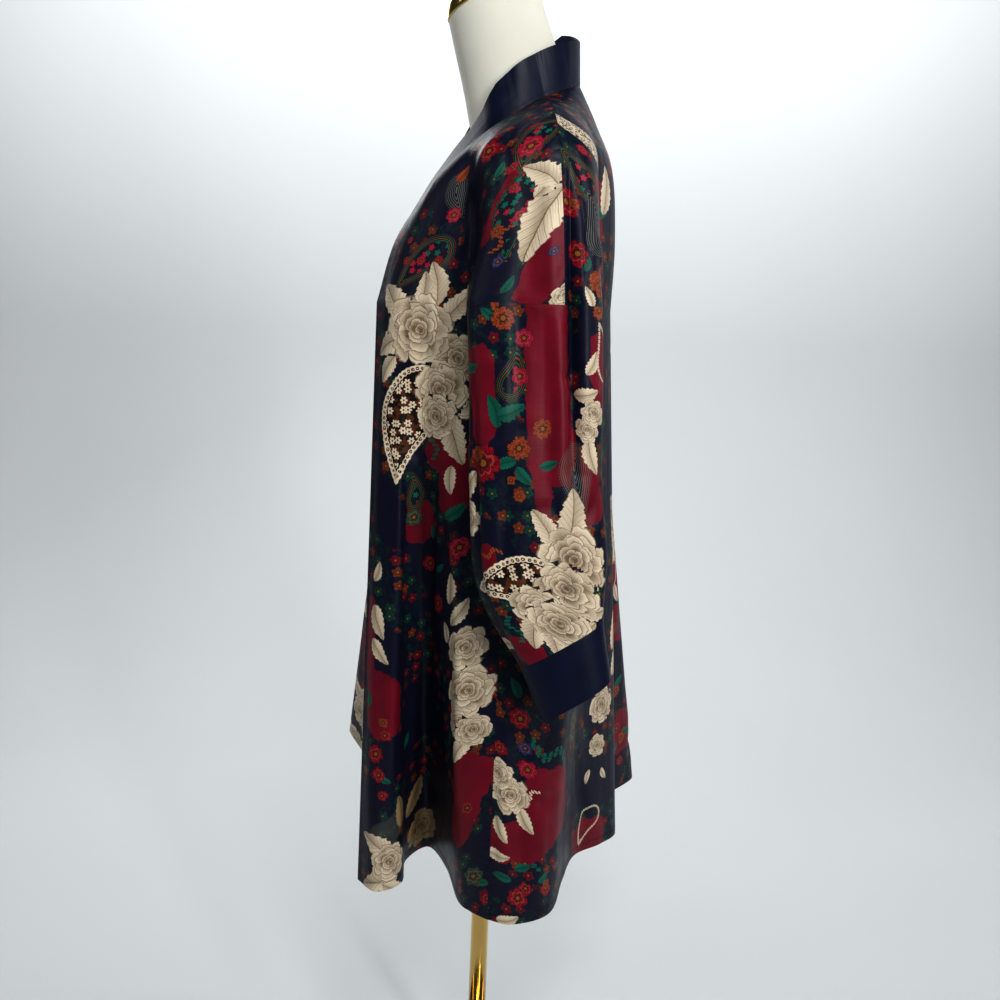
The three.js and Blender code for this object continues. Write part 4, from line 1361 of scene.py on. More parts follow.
# Rings of a peony, outermost first: reach, petals, turn, and how far the ring lies off the middle
PEONY_RINGS = ((0.98, 7, 0.0, 0.0, 0.0), (0.8, 7, 0.9, 0.05, -0.04), (0.63, 6, 0.2, -0.04, 0.05),
               (0.45, 5, 1.0, 0.04, 0.05), (0.29, 5, 0.4, -0.01, 0.03), (0.15, 3, 0.2, 0.03, 0.01))

# One colour for each tone, in the order of Tone: light and dark
TONE_LIGHT = [srgb(226, 211, 186), srgb(166, 142, 106), srgb(158, 14, 40), srgb(176, 26, 66),
              srgb(160, 76, 34), srgb(44, 66, 118), srgb(18, 104, 86), srgb(44, 98, 74), srgb(108, 110, 98)]
TONE_DARK = [srgb(116, 94, 68), srgb(74, 56, 36), srgb(66, 6, 20), srgb(96, 10, 34), srgb(84, 28, 16),
             srgb(12, 20, 50), srgb(6, 46, 44), srgb(22, 30, 34), srgb(34, 38, 40)]

# Fixed colours: lines, the dim sprinkle of the ground, and the eyes, rims and beads of the motifs
INK = srgb(30, 20, 16)
SEPIA = srgb(88, 66, 46)
DIM_TEAL, DIM_RED, DIM_RUST = srgb(10, 70, 60), srgb(116, 12, 36), srgb(124, 56, 28)
DIM_EYE, DIM_STEM = srgb(150, 104, 50), srgb(9, 46, 44)
FLOWER_RING, FLOWER_EYE = srgb(168, 84, 66), srgb(142, 92, 38)
PAISLEY_BLACK, PAISLEY_BROWN = srgb(26, 18, 18), srgb(92, 52, 28)
DAISY_EYE, DAISY_RIM = srgb(96, 56, 30), srgb(30, 18, 16)
BEAD_NAVY, BEAD_BROWN = srgb(24, 22, 40), srgb(110, 60, 32)
BLOOM_TEAL, BLOOM_PINK, FEATHER_RUST = srgb(24, 104, 88), srgb(168, 28, 60), srgb(140, 74, 34)
REVERSE_HAZE = srgb(66, 62, 70)

# Sizes of the print's details and of the sewing in mm, and how far the scattered spots stray in their cells
SCATTER = 0.8
HEM_TURN = 12.6
SEAM_LINE = 0.35
DIM_FLOWER_PITCH = 21.0
DIM_LEAF_PITCH = 13.0
DAISY_PITCH = 13.0
DAISY_BORDER = 8.6
BEAD_PITCH = 7.0
BEAD_CENTRE = 4.0
LOOP_BEAD_PITCH = 4.4
FEATHER_LINE_PITCH = 2.3
FEATHER_FLOWER_PITCH = 11.0
FEATHER_RIM = 7.0
FEATHER_TICK_PITCH = 2.6
FEATHER_TICK_LENGTH = 2.4
LACE_PITCH = 7.0
NO_HEM = 99.0

# How dark the sewing's lines are, how strongly satin's gloss runs one way, and its relief in metres
SEAM_DARKNESS = 0.35
HEM_DARKNESS = 0.45
SATIN_GRAIN = 0.4
SATIN_RELIEF = 0.0012

# A whole turn and a quarter in radians, and the half turns in one radian
TURN = 6.283
QUARTER_TURN = 1.5708
HALF_TURNS = 0.31831


@dataclass(frozen=True)
class PrintedSatin:
    """High gloss satin printed with peonies, leaves, paisleys and small flowers on navy and maroon."""

    navy: tuple = srgb(18, 20, 44)
    maroon: tuple = srgb(140, 16, 46)
    maroon_deep: tuple = srgb(84, 6, 26)
    roughness: float = 0.42
    muted: bool = False

    def groups(self) -> dict:
        """Makes the node group of each kind of motif.

        Returns:
            The groups by kind.
        """
        painted = {Kind.PEONY: self.peony, Kind.LEAF: self.leaf, Kind.FLOWER: self.flower,
                   Kind.DAISY_PAISLEY: self.daisies, Kind.FEATHER_PAISLEY: self.feather, Kind.LOOP: self.loop,
                   Kind.VINE: self.vine, Kind.LACE: self.lace}
        return {kind: MotifGroup(kind.name.lower(), each) for kind, each in painted.items()}

    def build(self, name: str, groups: dict) -> bpy.types.Material:
        """Makes the material.

        Args:
            name: its name.
            groups: the motifs' node groups.

        Returns:
            The material.
        """
        paint = Painter(name)
        cloth = paint.attribute("cloth")
        seam, hem, maroon = paint.split(paint.attribute("edge"))
        wobble = paint.noise(cloth, 0.045, 3.0)
        colour = self.ground(paint, cloth, maroon, wobble)
        for layer in range(PRINT_LAYERS):
            x, y, kind = paint.split(paint.attribute(f"motif{layer}"))
            depth, run, tone = paint.split(paint.attribute(f"extra{layer}"))
            light, dark = paint.ramp(tone, TONE_LIGHT), paint.ramp(tone, TONE_DARK)
            for motif in LAYER_KINDS[layer]:
                shade, share = paint.use(groups[motif], [x, y, depth, run, cloth, wobble, light, dark, tone])
                here = kind.near(float(motif.value), 0.4, 0.1)
                colour = paint.mix(here * share, colour, shade)
        colour = paint.mix(seam.below(SEAM_LINE, 0.5) * SEAM_DARKNESS, colour, INK)
        colour = paint.mix(hem.near(HEM_TURN, 0.35, 0.4) * HEM_DARKNESS, colour, INK)
        if self.muted:
            colour = paint.mix(0.35, colour, REVERSE_HAZE)
        height = satin_height(paint, cloth, seam, hem, wobble)
        bump = paint.node("ShaderNodeBump", {"Strength": 0.5, "Distance": SATIN_RELIEF, "Height": height}, 0)
        gloss = wobble * 0.1 + (self.roughness + (0.2 if self.muted else -0.05))
        return paint.finish(Base_Color=colour, Roughness=gloss, Normal=bump, Anisotropic=SATIN_GRAIN,
                            Specular_IOR_Level=0.1 if self.muted else 0.25)

    def ground(self, paint: Painter, cloth: Field, maroon: Field, wobble: Field) -> Field:
        """Paints navy and maroon with a sprinkle of dim small flowers.

        Args:
            paint: the material's nodes.
            cloth: places on the flat cloth.
            maroon: above a half where the ground is maroon.
            wobble: soft noise.

        Returns:
            The ground's colour.
        """
        is_maroon = (maroon + wobble * 0.7 - 0.35).above(0.5, 0.03)
        red = paint.mix(paint.noise(cloth, 0.02, 2.0), self.maroon_deep, self.maroon)
        thick = paint.noise(cloth, 0.011, 1.0).above(0.49, 0.05)
        away, angle, tint = paint.cells(cloth, DIM_FLOWER_PITCH)
        pick, second, _ = paint.split(tint)
        petals = abs((angle * 2.5 + pick * 3.0).op("COSINE")) * 0.14 + 0.2
        place = away / petals
        dim = paint.mix(pick.above(0.42, 0.01), DIM_TEAL, DIM_RED)
        dim = paint.mix(pick.above(0.74, 0.01), dim, DIM_RUST)
        shade = paint.mix((place * 0.9 + 0.1).op("MINIMUM", 1.0), paint.mix(0.72, dim, INK), dim)
        shade = paint.mix(away.below(0.06, 0.03), shade, DIM_EYE)
        leaf_away, leaf_angle, _ = paint.cells(cloth, DIM_LEAF_PITCH)
        reach = abs((leaf_angle * 1.0 + second * 6.0).op("COSINE")) * 0.32 + 0.08
        leaf = (reach - leaf_away).above(0.0, 0.04)
        stems = paint.noise(cloth, 0.05, 1.0).near(0.5, 0.01, 0.012)
        blue = paint.mix(leaf.op("MAXIMUM", stems) * thick * 0.55, self.navy, DIM_STEM)
        blue = paint.mix(place.below(1.0, 0.1) * thick, blue, shade)
        return paint.mix(is_maroon, blue, red)

    def peony(self, paint: Painter, at: Spot) -> tuple:
        """Paints rings of scalloped petals with fine lines, each ring a little off the middle.

        Args:
            paint: the motif's nodes.
            at: the spot.

        Returns:
            Its colour and where it covers.
        """
        x, y, wobble, light, dark = at.x, at.y, at.wobble, at.light, at.dark
        colour, share = None, None
        for reach, petals, phase, across, along in PEONY_RINGS:
            rx, ry = x - across, y - along
            angle = ry.op("ARCTAN2", rx) + wobble * 1.4
            radius = (rx * rx + ry * ry) ** 0.5 * (wobble * 0.36 + 0.82)
            lobe = abs((angle * (petals / 2) + phase).op("COSINE"))
            notch = (angle * 19.0 + phase * 5.0).op("SINE") * 0.018
            edge = (lobe ** 0.5 * 0.27 + notch + 0.73) * reach
            place = radius / edge
            inside = place.below(1.0, 0.03 / reach)
            rise = (place - 0.56).op("DIVIDE", 0.44, clamp=True)
            streak = (angle * 47.0 + wobble * 11.0).op("SINE") * 0.5 + 0.5
            petal_turn = (angle * (petals / 2) + (phase - QUARTER_TURN)) * HALF_TURNS
            tilt = (petal_turn.op("FLOOR") * 2.4 + phase).op("SINE") * 0.15 - 0.03
            bright = (rise * 0.72 + 0.34 + tilt - streak * rise.flip() * 0.34).op("MAXIMUM", 0.0)
            petal = paint.mix(bright.op("MINIMUM", 1.0), dark, light)
            rim = place.near(0.985, 0.018 / reach, 0.03)
            line = rim.op("MAXIMUM", (lobe * radius).below(0.016, 0.02) * 0.7)
            petal = paint.mix(line * 0.8, petal, SEPIA)
            colour = petal if colour is None else paint.mix(inside, colour, petal)
            share = inside if share is None else share
        return colour, share

    def leaf(self, paint: Painter, at: Spot) -> tuple:
        """Paints a lobed leaf with its veins.

        Args:
            paint: the motif's nodes.
            at: the spot.

        Returns:
            Its colour and where it covers.
        """
        x, y, wobble, light, dark = at.x, at.y, at.wobble, at.light, at.dark
        off = y - (x * x * 0.14 - 0.07) - wobble * 0.1 + 0.05
        away = abs(off)
        lobes = ((x * 3.6 + away * 1.5) * TURN).op("SINE") * 0.075
        lobes = lobes + ((x * 9.0 + away) * TURN).op("SINE") * 0.03
        width = (x * x).flip().op("MAXIMUM", 0.0) ** LEAF_ROUND * (x * -LEAF_BASE + 1.0)
        width = width * (lobes + 0.9) * LEAF_WIDTH
        inside = (width - away).above(0.012, 0.014)
        slant = x - away * 1.15
        vein = (slant * 4.5).op("FRACT").near(0.5, 0.035, 0.05) * 0.7
        rib = away.below(0.014, 0.02)
        hatch = (slant * 75.0 + wobble * 8.0).op("SINE") * 0.1
        bright = away * 1.3 + off.above(0.0, 0.05) * 0.22 + 0.3 + hatch + wobble * 0.25
        colour = paint.mix(bright.op("MINIMUM", 1.0), dark, light)
        rim = (width - away).below(0.03, 0.02) * 0.5
        colour = paint.mix(vein.op("MAXIMUM", rib).op("MAXIMUM", rim), colour, dark)
        return colour, inside

    def flower(self, paint: Painter, at: Spot) -> tuple:
        """Paints a small open flower.

        Args:
            paint: the motif's nodes.
            at: the spot.

        Returns:
            Its colour and where it covers.
        """
        x, y, wobble, light, dark = at.x, at.y, at.wobble, at.light, at.dark
        radius = (x * x + y * y) ** 0.5 * (wobble * 0.5 + 0.75)
        angle = y.op("ARCTAN2", x) + wobble * 2.0
        lobe = abs((angle * 3.5).op("COSINE"))
        notch = (angle * 21.0).op("SINE") * 0.05
        place = radius / (lobe ** 0.6 * 0.3 + notch + 0.66)
        lines = (angle * 31.0).op("SINE") * 0.3
        colour = paint.mix((place * 1.3 - 0.35 + lines).op("MINIMUM", 1.0), dark, light)
        inner = radius / (abs((angle * 2.5).op("COSINE")) * 0.2 + 0.38)
        colour = paint.mix(inner.below(1.0, 0.05) * 0.55, colour, paint.mix(lobe, INK, light))
        colour = paint.mix(inner.near(1.0, 0.1, 0.05) * 0.65, colour, FLOWER_RING)
        colour = paint.mix(radius.below(0.2, 0.04), colour, FLOWER_EYE)
        colour = paint.mix(radius.near(0.22, 0.035, 0.03), colour, INK)
        colour = paint.mix(place.above(0.92, 0.05) * 0.7, colour, INK)
        return colour, place.below(1.0, 0.04)

    def daisies(self, paint: Painter, at: Spot) -> tuple:
        """Paints a brown and black paisley with white daisies and a beaded white border.

        Args:
            paint: the motif's nodes.
            at: the spot.

        Returns:
            Its colour and where it covers.
        """
        depth, run, cloth, light = at.depth, at.run, at.cloth, at.light
        ground = paint.mix(paint.noise(cloth, 0.1, 2.0).above(0.52, 0.05), PAISLEY_BLACK, PAISLEY_BROWN)
        away, angle, _ = paint.cells(cloth, DAISY_PITCH)
        petals = abs((angle * 3.0).op("COSINE")) * 0.2 + 0.2
        colour = paint.mix((petals - away).above(0.0, 0.04), ground, light)
        colour = paint.mix(away.below(0.1, 0.04), colour, DAISY_EYE)
        colour = paint.mix(depth.below(DAISY_BORDER, 0.5), colour, DAISY_RIM)
        along = (run / BEAD_PITCH).op("FRACT") - 0.5
        scallop = abs(along) * 2.4
        colour = paint.mix((depth + scallop).below(DAISY_BORDER - 1.0, 0.5), colour, light)
        bead = ((along * BEAD_PITCH) ** 2.0 + (depth - BEAD_CENTRE) ** 2.0) ** 0.5
        bead = bead + (run / BEAD_PITCH).op("SINE") * 0.2
        every_other = (run / (2 * BEAD_PITCH)).op("FRACT").above(0.5, 0.01)
        colour = paint.mix(bead.below(2.1, 0.4), colour, paint.mix(every_other, BEAD_NAVY, BEAD_BROWN))
        colour = paint.mix(bead.below(0.7, 0.4), colour, light)
        return colour, (depth - scallop * 0.8).above(-1.0, 0.5)

    def feather(self, paint: Painter, at: Spot) -> tuple:
        """Paints a paisley of fine lines with small flowers inside.

        Args:
            paint: the motif's nodes.
            at: the spot.

        Returns:
            Its colour and where it covers.
        """
        depth, run, cloth, light, dark, tone = at.depth, at.run, at.cloth, at.light, at.dark, at.tone
        lines = (depth / FEATHER_LINE_PITCH).op("FRACT").near(0.5, 0.2, 0.12)
        warm = (depth / (2 * FEATHER_LINE_PITCH)).op("FRACT").above(0.5, 0.02) * tone.below(7.5, 0.1)
        ticks = (run / FEATHER_TICK_PITCH).op("FRACT").near(0.5, 0.22, 0.12)
        ticks = ticks * depth.below(0.0, 0.4) * depth.above(-FEATHER_TICK_LENGTH, 0.4)
        away, angle, tint = paint.cells(cloth, FEATHER_FLOWER_PITCH)
        petals = abs((angle * 2.5).op("COSINE")) * 0.18 + 0.2
        pick, _, _ = paint.split(tint)
        bloom = paint.mix(pick.above(0.5, 0.01), BLOOM_TEAL, BLOOM_PINK)
        inside = paint.mix(0.55, dark, self.navy)
        inside = paint.mix((petals - away).above(0.0, 0.04), inside, bloom)
        is_grey = tone.above(7.5, 0.1)
        rings = depth.below(FEATHER_RIM, 0.4).op("MAXIMUM", is_grey)
        drawn = paint.mix(warm, light, FEATHER_RUST)
        colour = paint.mix(rings, inside, paint.mix(lines, dark, drawn))
        share = depth.above(0.0, 0.3) * (is_grey.flip().op("MAXIMUM", lines * 0.8))
        return colour, share.op("MAXIMUM", ticks * 0.8)

    def loop(self, paint: Painter, at: Spot) -> tuple:
        """Paints a string of white beads round a teardrop.

        Args:
            paint: the motif's nodes.
            at: the spot.

        Returns:
            Its colour and where it covers.
        """
        depth, run, light, dark = at.depth, at.run, at.light, at.dark
        along = ((run / LOOP_BEAD_PITCH).op("FRACT") - 0.5) * LOOP_BEAD_PITCH
        bead = (along ** 2.0 + (depth - LOOP_BEAD_PITCH / 2) ** 2.0) ** 0.5
        colour = paint.mix(bead.below(0.7, 0.3), light, dark)
        return colour, bead.below(1.95, 0.35)

    def vine(self, paint: Painter, at: Spot) -> tuple:
        """Paints a curling stem with small leaves.

        Args:
            paint: the motif's nodes.
            at: the spot.

        Returns:
            Its colour and where it covers.
        """
        x, y, light = at.x, at.y, at.light
        away = abs(y - (x * 4.6).op("SINE") * 0.24)
        stem = away.below(0.028, 0.02)
        along = ((x * 4.0).op("FRACT") - 0.5) * 0.25
        leaf = ((along / 0.085) ** 2.0 + ((away - 0.12) / 0.085) ** 2.0).below(1.0, 0.15)
        return light, stem.op("MAXIMUM", leaf) * abs(x).below(0.95, 0.05)

    def lace(self, paint: Painter, at: Spot) -> tuple:
        """Paints a band of close white scribble.

        Args:
            paint: the motif's nodes.
            at: the spot.

        Returns:
            Its colour and where it covers.
        """
        x, y, cloth, wobble, light = at.x, at.y, at.cloth, at.wobble, at.light
        scribble = paint.noise(cloth, 0.22, 2.0).near(0.5, 0.055, 0.04)
        away, _, _ = paint.cells(cloth, LACE_PITCH)
        line = scribble.op("MAXIMUM", away.near(0.36, 0.07, 0.05))
        inside = (abs(y) + wobble * 0.12).below(0.38, 0.02) * abs(x).below(0.96, 0.03)
        return paint.mix(line * 0.85, INK, light), inside


def satin_height(paint: Painter, cloth: Field, seam: Field, hem: Field, wobble: Field) -> Field:
    """Works out the satin's fine relief: threads, soft puckers by the seams, the hem's turned edge.

    Args:
        paint: the material's nodes.
        cloth: places on the flat cloth.
        seam, hem: distances from a seam and from a free edge in mm.
        wobble: soft noise.

    Returns:
        A height.
    """
    u, v, _ = paint.split(cloth)
    threads = (u * 9.0).op("SINE") * 0.015 + (v * 9.0).op("SINE") * 0.01
    long_way = paint.noise(paint.join(u * 1.0, v * 0.2), 0.03, 2.0) * 4.2
    small = paint.noise(paint.join(u * 0.3, v * 1.0), 0.17, 3.0) * 0.5
    pucker = (v * 0.5 + wobble * 8.0).op("SINE") * seam.below(7.0, 10.0) * 0.22
    groove = seam.below(0.8, 2.4) * -0.15
    turned = hem.below(HEM_TURN, 1.2) * 0.35
    return threads + long_way + small + pucker + groove + turned


@dataclass(frozen=True)
class PlainSatin:
    """Plain glossy satin of the band and cuffs."""

    colour: tuple = srgb(17, 26, 58)
    deep: tuple = srgb(9, 13, 32)
    roughness: float = 0.42

    def build(self, name: str) -> bpy.types.Material:
        """Makes the material.

        Args:
            name: its name.

        Returns:
            The material.
        """
        paint = Painter(name)
        cloth = paint.attribute("cloth")
        seam, hem, _ = paint.split(paint.attribute("edge"))
        wobble = paint.noise(cloth, 0.03, 3.0)
        colour = paint.mix(wobble, self.deep, self.colour)
        colour = paint.mix(seam.below(0.7, 0.8) * 0.7, colour, INK)
        height = satin_height(paint, cloth, seam, hem * 0.0 + NO_HEM, wobble)
        bump = paint.node("ShaderNodeBump", {"Strength": 0.2, "Distance": SATIN_RELIEF, "Height": height}, 0)
        return paint.finish(Base_Color=colour, Roughness=wobble * 0.12 + self.roughness - 0.05, Normal=bump,
                            Anisotropic=SATIN_GRAIN, Specular_IOR_Level=0.24)


@dataclass(frozen=True)
class Jersey:
    """Matt white jersey stretched over the form."""

    colour: tuple = srgb(236, 235, 222)
    shade: tuple = srgb(222, 221, 208)

    def build(self, name: str) -> bpy.types.Material:
        """Makes the material.

        Args:
            name: its name.

        Returns:
            The material.
        """
        paint = Painter(name)
        place = paint.node("ShaderNodeTexCoord", {}, "Object")
        x, y, z = paint.split(place)
        soft = paint.noise(place, 14.0, 3.0)
        around = y.op("ARCTAN2", x)
        knit = (around * 520.0).op("SINE") * 0.5 + (z * 7000.0).op("SINE") * 0.5
        bump = paint.node("ShaderNodeBump", {"Strength": 0.12, "Distance": 0.0004, "Height": knit + soft}, 0)
        colour = paint.mix(soft, self.shade, self.colour)
        return paint.finish(Base_Color=colour, Roughness=0.82, Normal=bump, Sheen_Weight=0.25)


@dataclass(frozen=True)
class Gold:
    """Polished gold metal with faint wear."""

    colour: tuple = srgb(232, 202, 130)
    worn: tuple = srgb(208, 174, 106)

    def build(self, name: str) -> bpy.types.Material:
        """Makes the material.

        Args:
            name: its name.

        Returns:
            The material.
        """
        paint = Painter(name)
        place = paint.node("ShaderNodeTexCoord", {}, "Object")
        cloud = paint.noise(place, 9.0, 4.0)
        fine = paint.noise(place, 260.0, 2.0)
        bump = paint.node("ShaderNodeBump", {"Strength": 0.05, "Distance": 0.0003, "Height": fine}, 0)
        colour = paint.mix(cloud, self.worn, self.colour)
        return paint.finish(Base_Color=colour, Metallic=1.0, Roughness=cloud * 0.12 + 0.1, Normal=bump)


@dataclass(frozen=True)
class Thread:
    """Navy sewing thread."""

    colour: tuple = srgb(26, 30, 52)
    deep: tuple = srgb(16, 18, 34)

    def build(self, name: str) -> bpy.types.Material:
        """Makes the material.

        Args:
            name: its name.

        Returns:
            The material.
        """
        paint = Painter(name)
        place = paint.node("ShaderNodeTexCoord", {}, "Object")
        twist = paint.node("ShaderNodeTexWave", {"Vector": place, "Scale": 900.0}, 0)
        bump = paint.node("ShaderNodeBump", {"Strength": 0.3, "Distance": 0.0001, "Height": twist}, 0)
        colour = paint.mix(paint.noise(place, 300.0), self.deep, self.colour)
        return paint.finish(Base_Color=colour, Roughness=0.55, Normal=bump)


@dataclass(frozen=True)
class Backdrop:
    """Pale matt paper of the floor and sweep."""

    colour: tuple = srgb(190, 193, 194)
    shade: tuple = srgb(178, 182, 185)

    def build(self, name: str) -> bpy.types.Material:
        """Makes the material.

        Args:
            name: its name.

        Returns:
            The material.
        """
        paint = Painter(name)
        place = paint.node("ShaderNodeTexCoord", {}, "Object")
        colour = paint.mix(paint.noise(place, 2.0) * 0.3, self.colour, self.shade)
        return paint.finish(Base_Color=colour, Roughness=0.9)


def mesh_object(name: str, points: np.ndarray, faces: list, materials: list) -> bpy.types.Object:
    """Makes a smooth mesh object.

    Args:
        name: its name.
        points: places in metres.
        faces: corner numbers of each face.
        materials: its materials.

    Returns:
        The object.
    """
    mesh = bpy.data.meshes.new(name)
    mesh.from_pydata(np.asarray(points).tolist(), [], [list(map(int, face)) for face in faces])
    mesh.polygons.foreach_set("use_smooth", np.ones(len(mesh.polygons), bool))
    for material in materials:
        mesh.materials.append(material)
    mesh.update()
    made = bpy.data.objects.new(name, mesh)
    bpy.context.scene.collection.objects.link(made)
    return made


def store(mesh: bpy.types.Mesh, name: str, domain: str, values: np.ndarray) -> None:
    """Stores a vector on a mesh's points or corners.

    Args:
        mesh: the mesh.
        name: the attribute's name.
        domain: POINT or CORNER.
        values: a vector for each.
    """
    layer = mesh.attributes.new(name, "FLOAT_VECTOR", domain)
    layer.data.foreach_set("vector", np.asarray(values, np.float32).ravel())


def form_surface(form: bpy.types.Object) -> BVHTree:
    """Makes a search tree of the form's surface, so that the cloth stays off it.

    Args:
        form: the dress form.

    Returns:
        The tree.
    """
    return BVHTree.FromPolygons([vertex.co[:] for vertex in form.data.vertices],
                                [tuple(face.vertices) for face in form.data.polygons])


@dataclass
class ClothPieces:
    """Makes the robe's pieces as thin shells with their creases and print."""

    robe: Robe
    printed: Print
    outer: bpy.types.Material
    inner: bpy.types.Material
    plain: bpy.types.Material
    form: BVHTree
    places: dict = field(default_factory=dict)

    def build(self) -> list:
        """Makes every piece.

        Returns:
            The objects.
        """
        edges = self.robe.edge_distances()
        return [self.one(name, edges[name]) for name in self.robe.pieces]

    def creased(self, name: str, edge: np.ndarray) -> np.ndarray:
        """Pushes a piece's creases in, but never as far as the form.

        Args:
            name: its node.
            edge: its points' distances from seams and free edges.

        Returns:
            Places in metres.
        """
        points, normals = self.printed.placed(name), self.robe.normals[name]
        depth = self.printed.crease_depth(name, edge[:, 0]) * MM
        for number in np.flatnonzero(depth > LEAST_CREASE):
            start, way = Vector(points[number]), Vector(-normals[number])
            room = self.form.ray_cast(start, way, float(depth[number]) + FORM_ROOM * MM)[3]
            if room is not None:
                depth[number] = max(0.0, room - FORM_ROOM * MM)
        return points - normals * depth[:, None]

    def one(self, name: str, edge: np.ndarray) -> bpy.types.Object:
        """Makes one piece.

        Args:
            name: its node.
            edge: its points' distances from seams and free edges.

        Returns:
            The object.
        """
        piece = self.robe.pieces[name]
        points = self.creased(name, edge)
        self.places[name] = points
        is_printed = name in self.printed.names
        materials = [self.outer, self.inner] if is_printed else [self.plain, self.plain]
        made = mesh_object(f"{name}_cloth", points, piece.quads, materials)
        store(made.data, "cloth", "POINT", np.column_stack([piece.cloth, np.zeros(len(points))]))
        maroon = self.printed.maroon_field(name) if is_printed else np.zeros(len(points))
        store(made.data, "edge", "POINT", np.column_stack([edge, maroon]))
        if is_printed:
            for number, (place, extra) in enumerate(self.printed.corner_layers(name)):
                store(made.data, f"motif{number}", "CORNER", place)
                store(made.data, f"extra{number}", "CORNER", extra)
        shell = made.modifiers.new("wall", "SOLIDIFY")
        shell.thickness = CLOTH_THICKNESS * MM
        shell.offset = 0.0
        shell.material_offset = 1
        rims = made.modifiers.new("rims", "EDGE_SPLIT")
        rims.split_angle = math.radians(RIM_DEGREES)
        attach(made, "root")
        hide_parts(name)
        size = (piece.cloth.max(axis=0) - piece.cloth.min(axis=0)) * MM
        piece.area()
        log.info("%s: %d faces, %.3f m2, cut %.2f by %.2f m", name, len(piece.quads), piece.area(), *size)
        return made


@dataclass
class DressForm:
    """The limbless form with its neck cap."""

    jersey: bpy.types.Material
    gold: bpy.types.Material

    @staticmethod
    def reach(half_x: float, front: float, back: float, y: float, angle: np.ndarray,
              square: float) -> np.ndarray:
        """Measures how far an oval reaches from (0, y) along each angle.

        Args:
            half_x, front, back: the oval's half width and its ends.
            y: where the measure starts.
            angle: the angles.
            square: 1 for an ellipse, less for a squarer oval.

        Returns:
            The lengths.
        """
        low, high = np.zeros_like(angle), np.full_like(angle, REACH_LIMIT)
        middle_y, half_y, power = (front + back) / 2, (back - front) / 2, 2 / square
        for _ in range(REACH_HALVINGS):
            middle = (low + high) / 2
            inside = (np.abs(middle * np.cos(angle) / half_x) ** power
                      + np.abs((y + middle * np.sin(angle) - middle_y) / half_y) ** power) < 1
            low, high = np.where(inside, middle, low), np.where(inside, high, middle)
        return low

    def ring(self, row: np.ndarray, angle: np.ndarray) -> np.ndarray:
        """Makes a section round the body's and the neck's ovals.

        Args:
            row: height, half width, front and back of the body there.
            angle: the angles.

        Returns:
            Points round it.
        """
        place = np.interp(row[0], [each[0] for each in NECK], np.arange(len(NECK)))
        neck_x, neck_front, neck_back = through([each[1:] for each in NECK], np.array(place))
        y = (neck_front + neck_back) / 2
        body = self.reach(row[1], row[2], row[3], y, angle, BODY_SQUARENESS)
        neck = self.reach(neck_x, neck_front, neck_back, y, angle, 1.0)
        far = (body ** JOIN_SHARPNESS + neck ** JOIN_SHARPNESS) ** (1 / JOIN_SHARPNESS)
        return np.stack([far * np.cos(angle), y + far * np.sin(angle), np.full_like(angle, row[0])], -1)

    @staticmethod
    def tipped(lift: float, grow: float, angle: np.ndarray) -> np.ndarray:
        """Makes a tipped section at the top of the neck.

        Args:
            lift, grow: how far above the neck's top it lies, and how far out.
            angle: the angles.

        Returns:
            Points round it.
        """
        out_y = (NECK_TOP["half_y"] + grow) * np.sin(angle)
        return np.stack([(NECK_TOP["half_x"] + grow) * np.cos(angle), NECK_TOP["y"] + out_y,
                         NECK_TOP["z"] + lift + NECK_TOP["slope"] * out_y], -1)

    def build(self) -> list:
        """Makes the form and the cap.

        Returns:
            The objects.
        """
        angle = np.arange(FORM_SIDES) * 2 * math.pi / FORM_SIDES
        places = np.arange((len(FORM) - 1) * FORM_STEPS + 1) / FORM_STEPS
        rings = [self.ring(row, angle) for row in through(FORM, places)]
        top = self.tipped(0, 0, angle)
        rings += [rings[-1] * (1 - t) + top * t for t in np.arange(1, NECK_STEPS + 1) / NECK_STEPS]
        dome = [(CAP_HEIGHT, CAP_OVERHANG), (CAP_HEIGHT + CAP_DOME * 0.7, -12), (CAP_HEIGHT + CAP_DOME, -34),
                (CAP_HEIGHT + CAP_DOME * 1.05, -52)]
        profile = through(dome, np.arange(13) / 4)
        cap_rows = [(0, CAP_OVERHANG - 0.8), (0.8, CAP_OVERHANG), (CAP_HEIGHT - 1, CAP_OVERHANG), *profile]
        cap = [self.tipped(STAND_GAP + lift, grow, angle) for lift, grow in cap_rows]
        made = []
        for name, node, slot, stack, material in (("dress_form", "form_torso", "jersey", rings, self.jersey),
                                                  ("neck_cap_gold", "neck_cap", "gold", cap, self.gold)):
            points, faces = loft([ring + np.array([0, WORN_OFFSET_Y, 0]) for ring in stack])
            part = mesh_object(name, points * MM, faces, [material])
            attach(part, "root")
            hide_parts(node)
            made.append(part)
        return made


def loft(rings: list) -> tuple:
    """Skins a stack of rings and closes its ends.

    Args:
        rings: rows of points, from the bottom up.

    Returns:
        Points and faces.
    """
    sides = len(rings[0])
    points = np.vstack([*rings, rings[0].mean(axis=0), rings[-1].mean(axis=0)])
    faces = []
    for r in range(len(rings) - 1):
        for s in range(sides):
            a, b = r * sides + s, r * sides + (s + 1) % sides
            faces.append((a, b, b + sides, a + sides))
    last = (len(rings) - 1) * sides
    for s in range(sides):
        after = (s + 1) % sides
        faces += [(len(points) - 2, after, s), (len(points) - 1, last + s, last + after)]
    return points, faces


